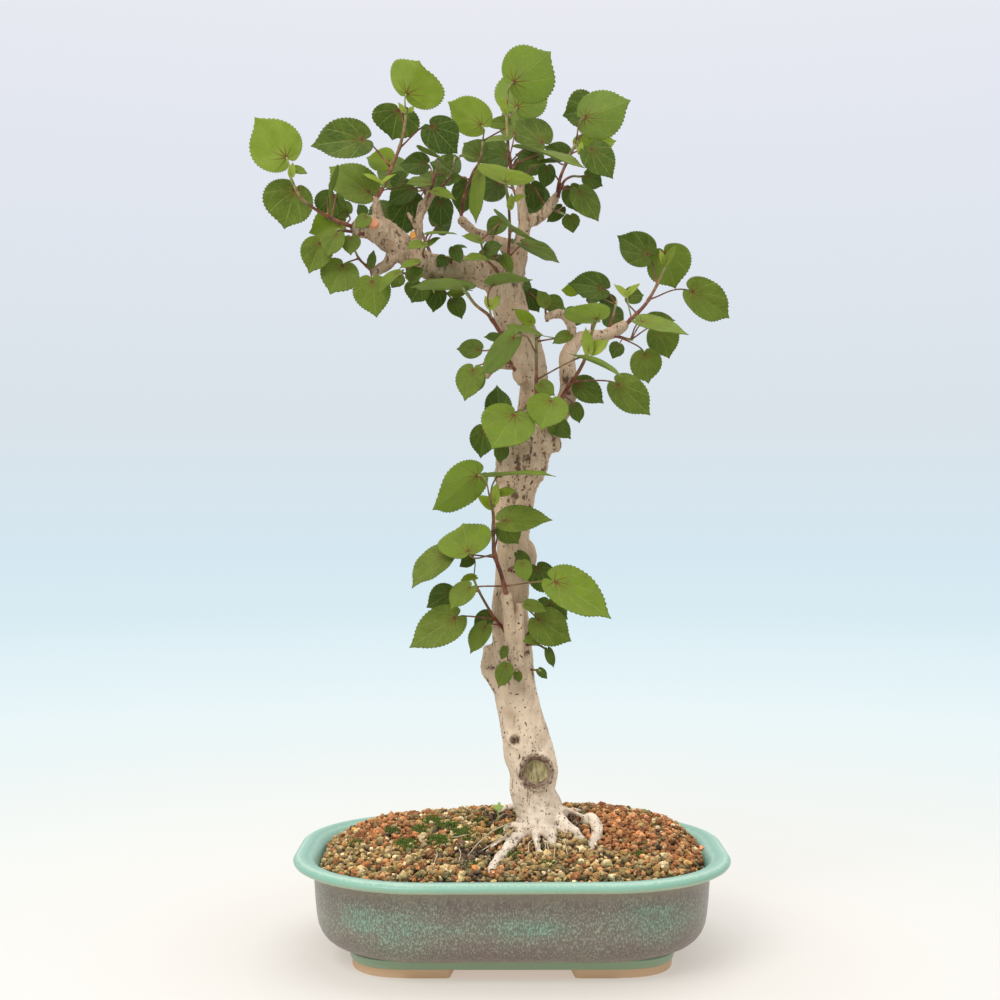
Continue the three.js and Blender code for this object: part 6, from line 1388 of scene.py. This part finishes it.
# Leaf blade: a thin downy leaf that lets light through. Veins fan out from the stalk, reddish at its
# end and pale farther out, with side veins and a fine net between them. The underside is paler.
blade = new_material("downy hibiscus leaf")
spot = add_node(blade, "UVMap", uv_map="blade")
flat = add_node(blade, "VectorMath", spot, (2.0, 2.0, 0.0), (-1.0, -1.0, 0.0), operation="MULTIPLY_ADD")
across, along = add_node(blade, "SeparateXYZ", flat, out=slice(2))
half_x = add_node(blade, "Math", across, operation="ABSOLUTE")
main = None
near_off = None
near_run = None
for vein, bow, thick in zip(VEINS, (0.0, 0.12, 0.2, 0.3), (0.015, 0.012, 0.01, 0.008)):
    sine, cosine = math.sin(vein), math.cos(vein)
    part = add_node(blade, "Math", along, cosine, operation="MULTIPLY")
    run = add_node(blade, "Math", half_x, sine, part, operation="MULTIPLY_ADD")
    part = add_node(blade, "Math", along, -sine, operation="MULTIPLY")
    off = add_node(blade, "Math", half_x, cosine, part, operation="MULTIPLY_ADD")
    square = add_node(blade, "Math", run, run, operation="MULTIPLY")
    bowed = add_node(blade, "Math", square, bow, off, operation="MULTIPLY_ADD")
    off = add_node(blade, "Math", bowed, operation="ABSOLUTE")
    behind = add_node(blade, "Math", run, 0, operation="LESS_THAN")
    off = add_node(blade, "Math", behind, 5, off, operation="MULTIPLY_ADD")
    width = add_node(blade, "MapRange", run, To_Min=thick, To_Max=0.25 * thick)
    inner = add_node(blade, "Math", off, width, operation="DIVIDE")
    line = add_node(blade, "MapRange", inner, 1.3, 0.5)
    if main is None:
        main, near_off, near_run = line, off, run
    else:
        nearer = add_node(blade, "Math", off, near_off, operation="LESS_THAN")
        main = add_node(blade, "Math", main, line, operation="MAXIMUM")
        near_run = add_node(blade, "Mix", nearer, None, near_run, run)
        near_off = add_node(blade, "Math", off, near_off, operation="MINIMUM")
# Side veins leave a main vein every 0.15 of the blade's length and lean forwards.
behind = add_node(blade, "Math", near_off, -1.0, near_run, operation="MULTIPLY_ADD")
count = add_node(blade, "Math", behind, 0.15, operation="DIVIDE")
phase = add_node(blade, "Math", count, operation="FRACT")
centred = add_node(blade, "Math", phase, 0.5, operation="SUBTRACT")
away = add_node(blade, "Math", centred, operation="ABSOLUTE")
side_vein = add_node(blade, "MapRange", away, 0.09, 0.03, To_Max=0.55)
net = add_node(blade, "TexVoronoi", flat, Scale=16, feature="DISTANCE_TO_EDGE")
netted = add_node(blade, "MapRange", net, 0.1, 0.02, To_Max=0.25)
small = add_node(blade, "Math", side_vein, netted, operation="MAXIMUM")
# The tone holds the leaf's age and painted light and shade: leaves in shade get darker colours, lit ones
# paler.
tone_and_light = add_node(blade, "Attribute", attribute_name="tone_and_light", out="Fac")
under = add_node(blade, "Attribute", attribute_name="under", out="Fac")
rim = add_node(blade, "Attribute", attribute_name="rim", out="Fac")
place = add_node(blade, "TexCoord", out="Object")
cloud = add_node(blade, "TexNoise", place, Scale=110, Detail=3)
drift = add_node(blade, "Math", cloud, 0.3, -0.15, operation="MULTIPLY_ADD")
age_and_light = add_node(blade, "Math", tone_and_light, drift, operation="ADD")
skin = add_node(
    blade, "ValToRGB", age_and_light, stops={0: "#38521a", 0.3: "#4e6218", 0.5: "#76842a", 0.65: "#849730",
    0.8: "#8ea30c", 1: "#b2be50"})
lit = add_node(
    blade, "ValToRGB", age_and_light, stops={0: "#46640a", 0.3: "#627e08", 0.5: "#8ca006", 0.8: "#aabb00",
    1: "#c8d250"})
pale = add_node(blade, "Math", under, 0.18, operation="MULTIPLY")
sided = add_node(blade, "MixRGB", pale, skin, "#97ac72")
veined = add_node(blade, "Math", small, 0.5, operation="MULTIPLY")
lined = add_node(blade, "MixRGB", veined, sided, "#a9bf68")
vein_tint = add_node(
    blade, "ValToRGB", near_run, stops={0: "#7f3c2a", 0.17: "#90633a", 0.36: "#abaa5c", 0.8: "#b4c26c"})
strong = add_node(blade, "MapRange", near_run, From_Max=0.3, To_Min=0.95, To_Max=0.7)
ribbed = add_node(blade, "Math", main, strong, operation="MULTIPLY")
marked = add_node(blade, "MixRGB", ribbed, lined, vein_tint)
brink = add_node(blade, "MapRange", rim, 0.965, 1, To_Max=0.45)
edged = add_node(blade, "MixRGB", brink, marked, "#6b7a35")
dulled = add_node(blade, "Math", main, 0.6, operation="MULTIPLY")
darker = add_node(blade, "MixRGB", dulled, lit, vein_tint)
ridge = add_node(blade, "Math", small, 0.4, main, operation="MULTIPLY_ADD")
side = add_node(blade, "Math", under, 2, -1.0, operation="MULTIPLY_ADD")
height = add_node(blade, "Math", ridge, side, operation="MULTIPLY")
relief = add_node(blade, "Bump", Height=height, Strength=0.5, Distance=0.0005)
surface = add_node(
    blade, "BsdfPrincipled", Base_Color=edged, Roughness=0.5, Normal=relief, Sheen_Weight=0.04,
    Sheen_Roughness=0.4, Sheen_Tint="#e4eedd", IOR=1.4, Specular_IOR_Level=0.3)
through = add_node(blade, "BsdfTranslucent", darker)
both = add_node(blade, "MixShader", 0.38, surface, through)
shown(blade, both)
for name, bm in shoot_meshes.items():
    add_piece(bm, "leafy_" + name, [young_bark, blade], "foliage", "shoot_" + name)
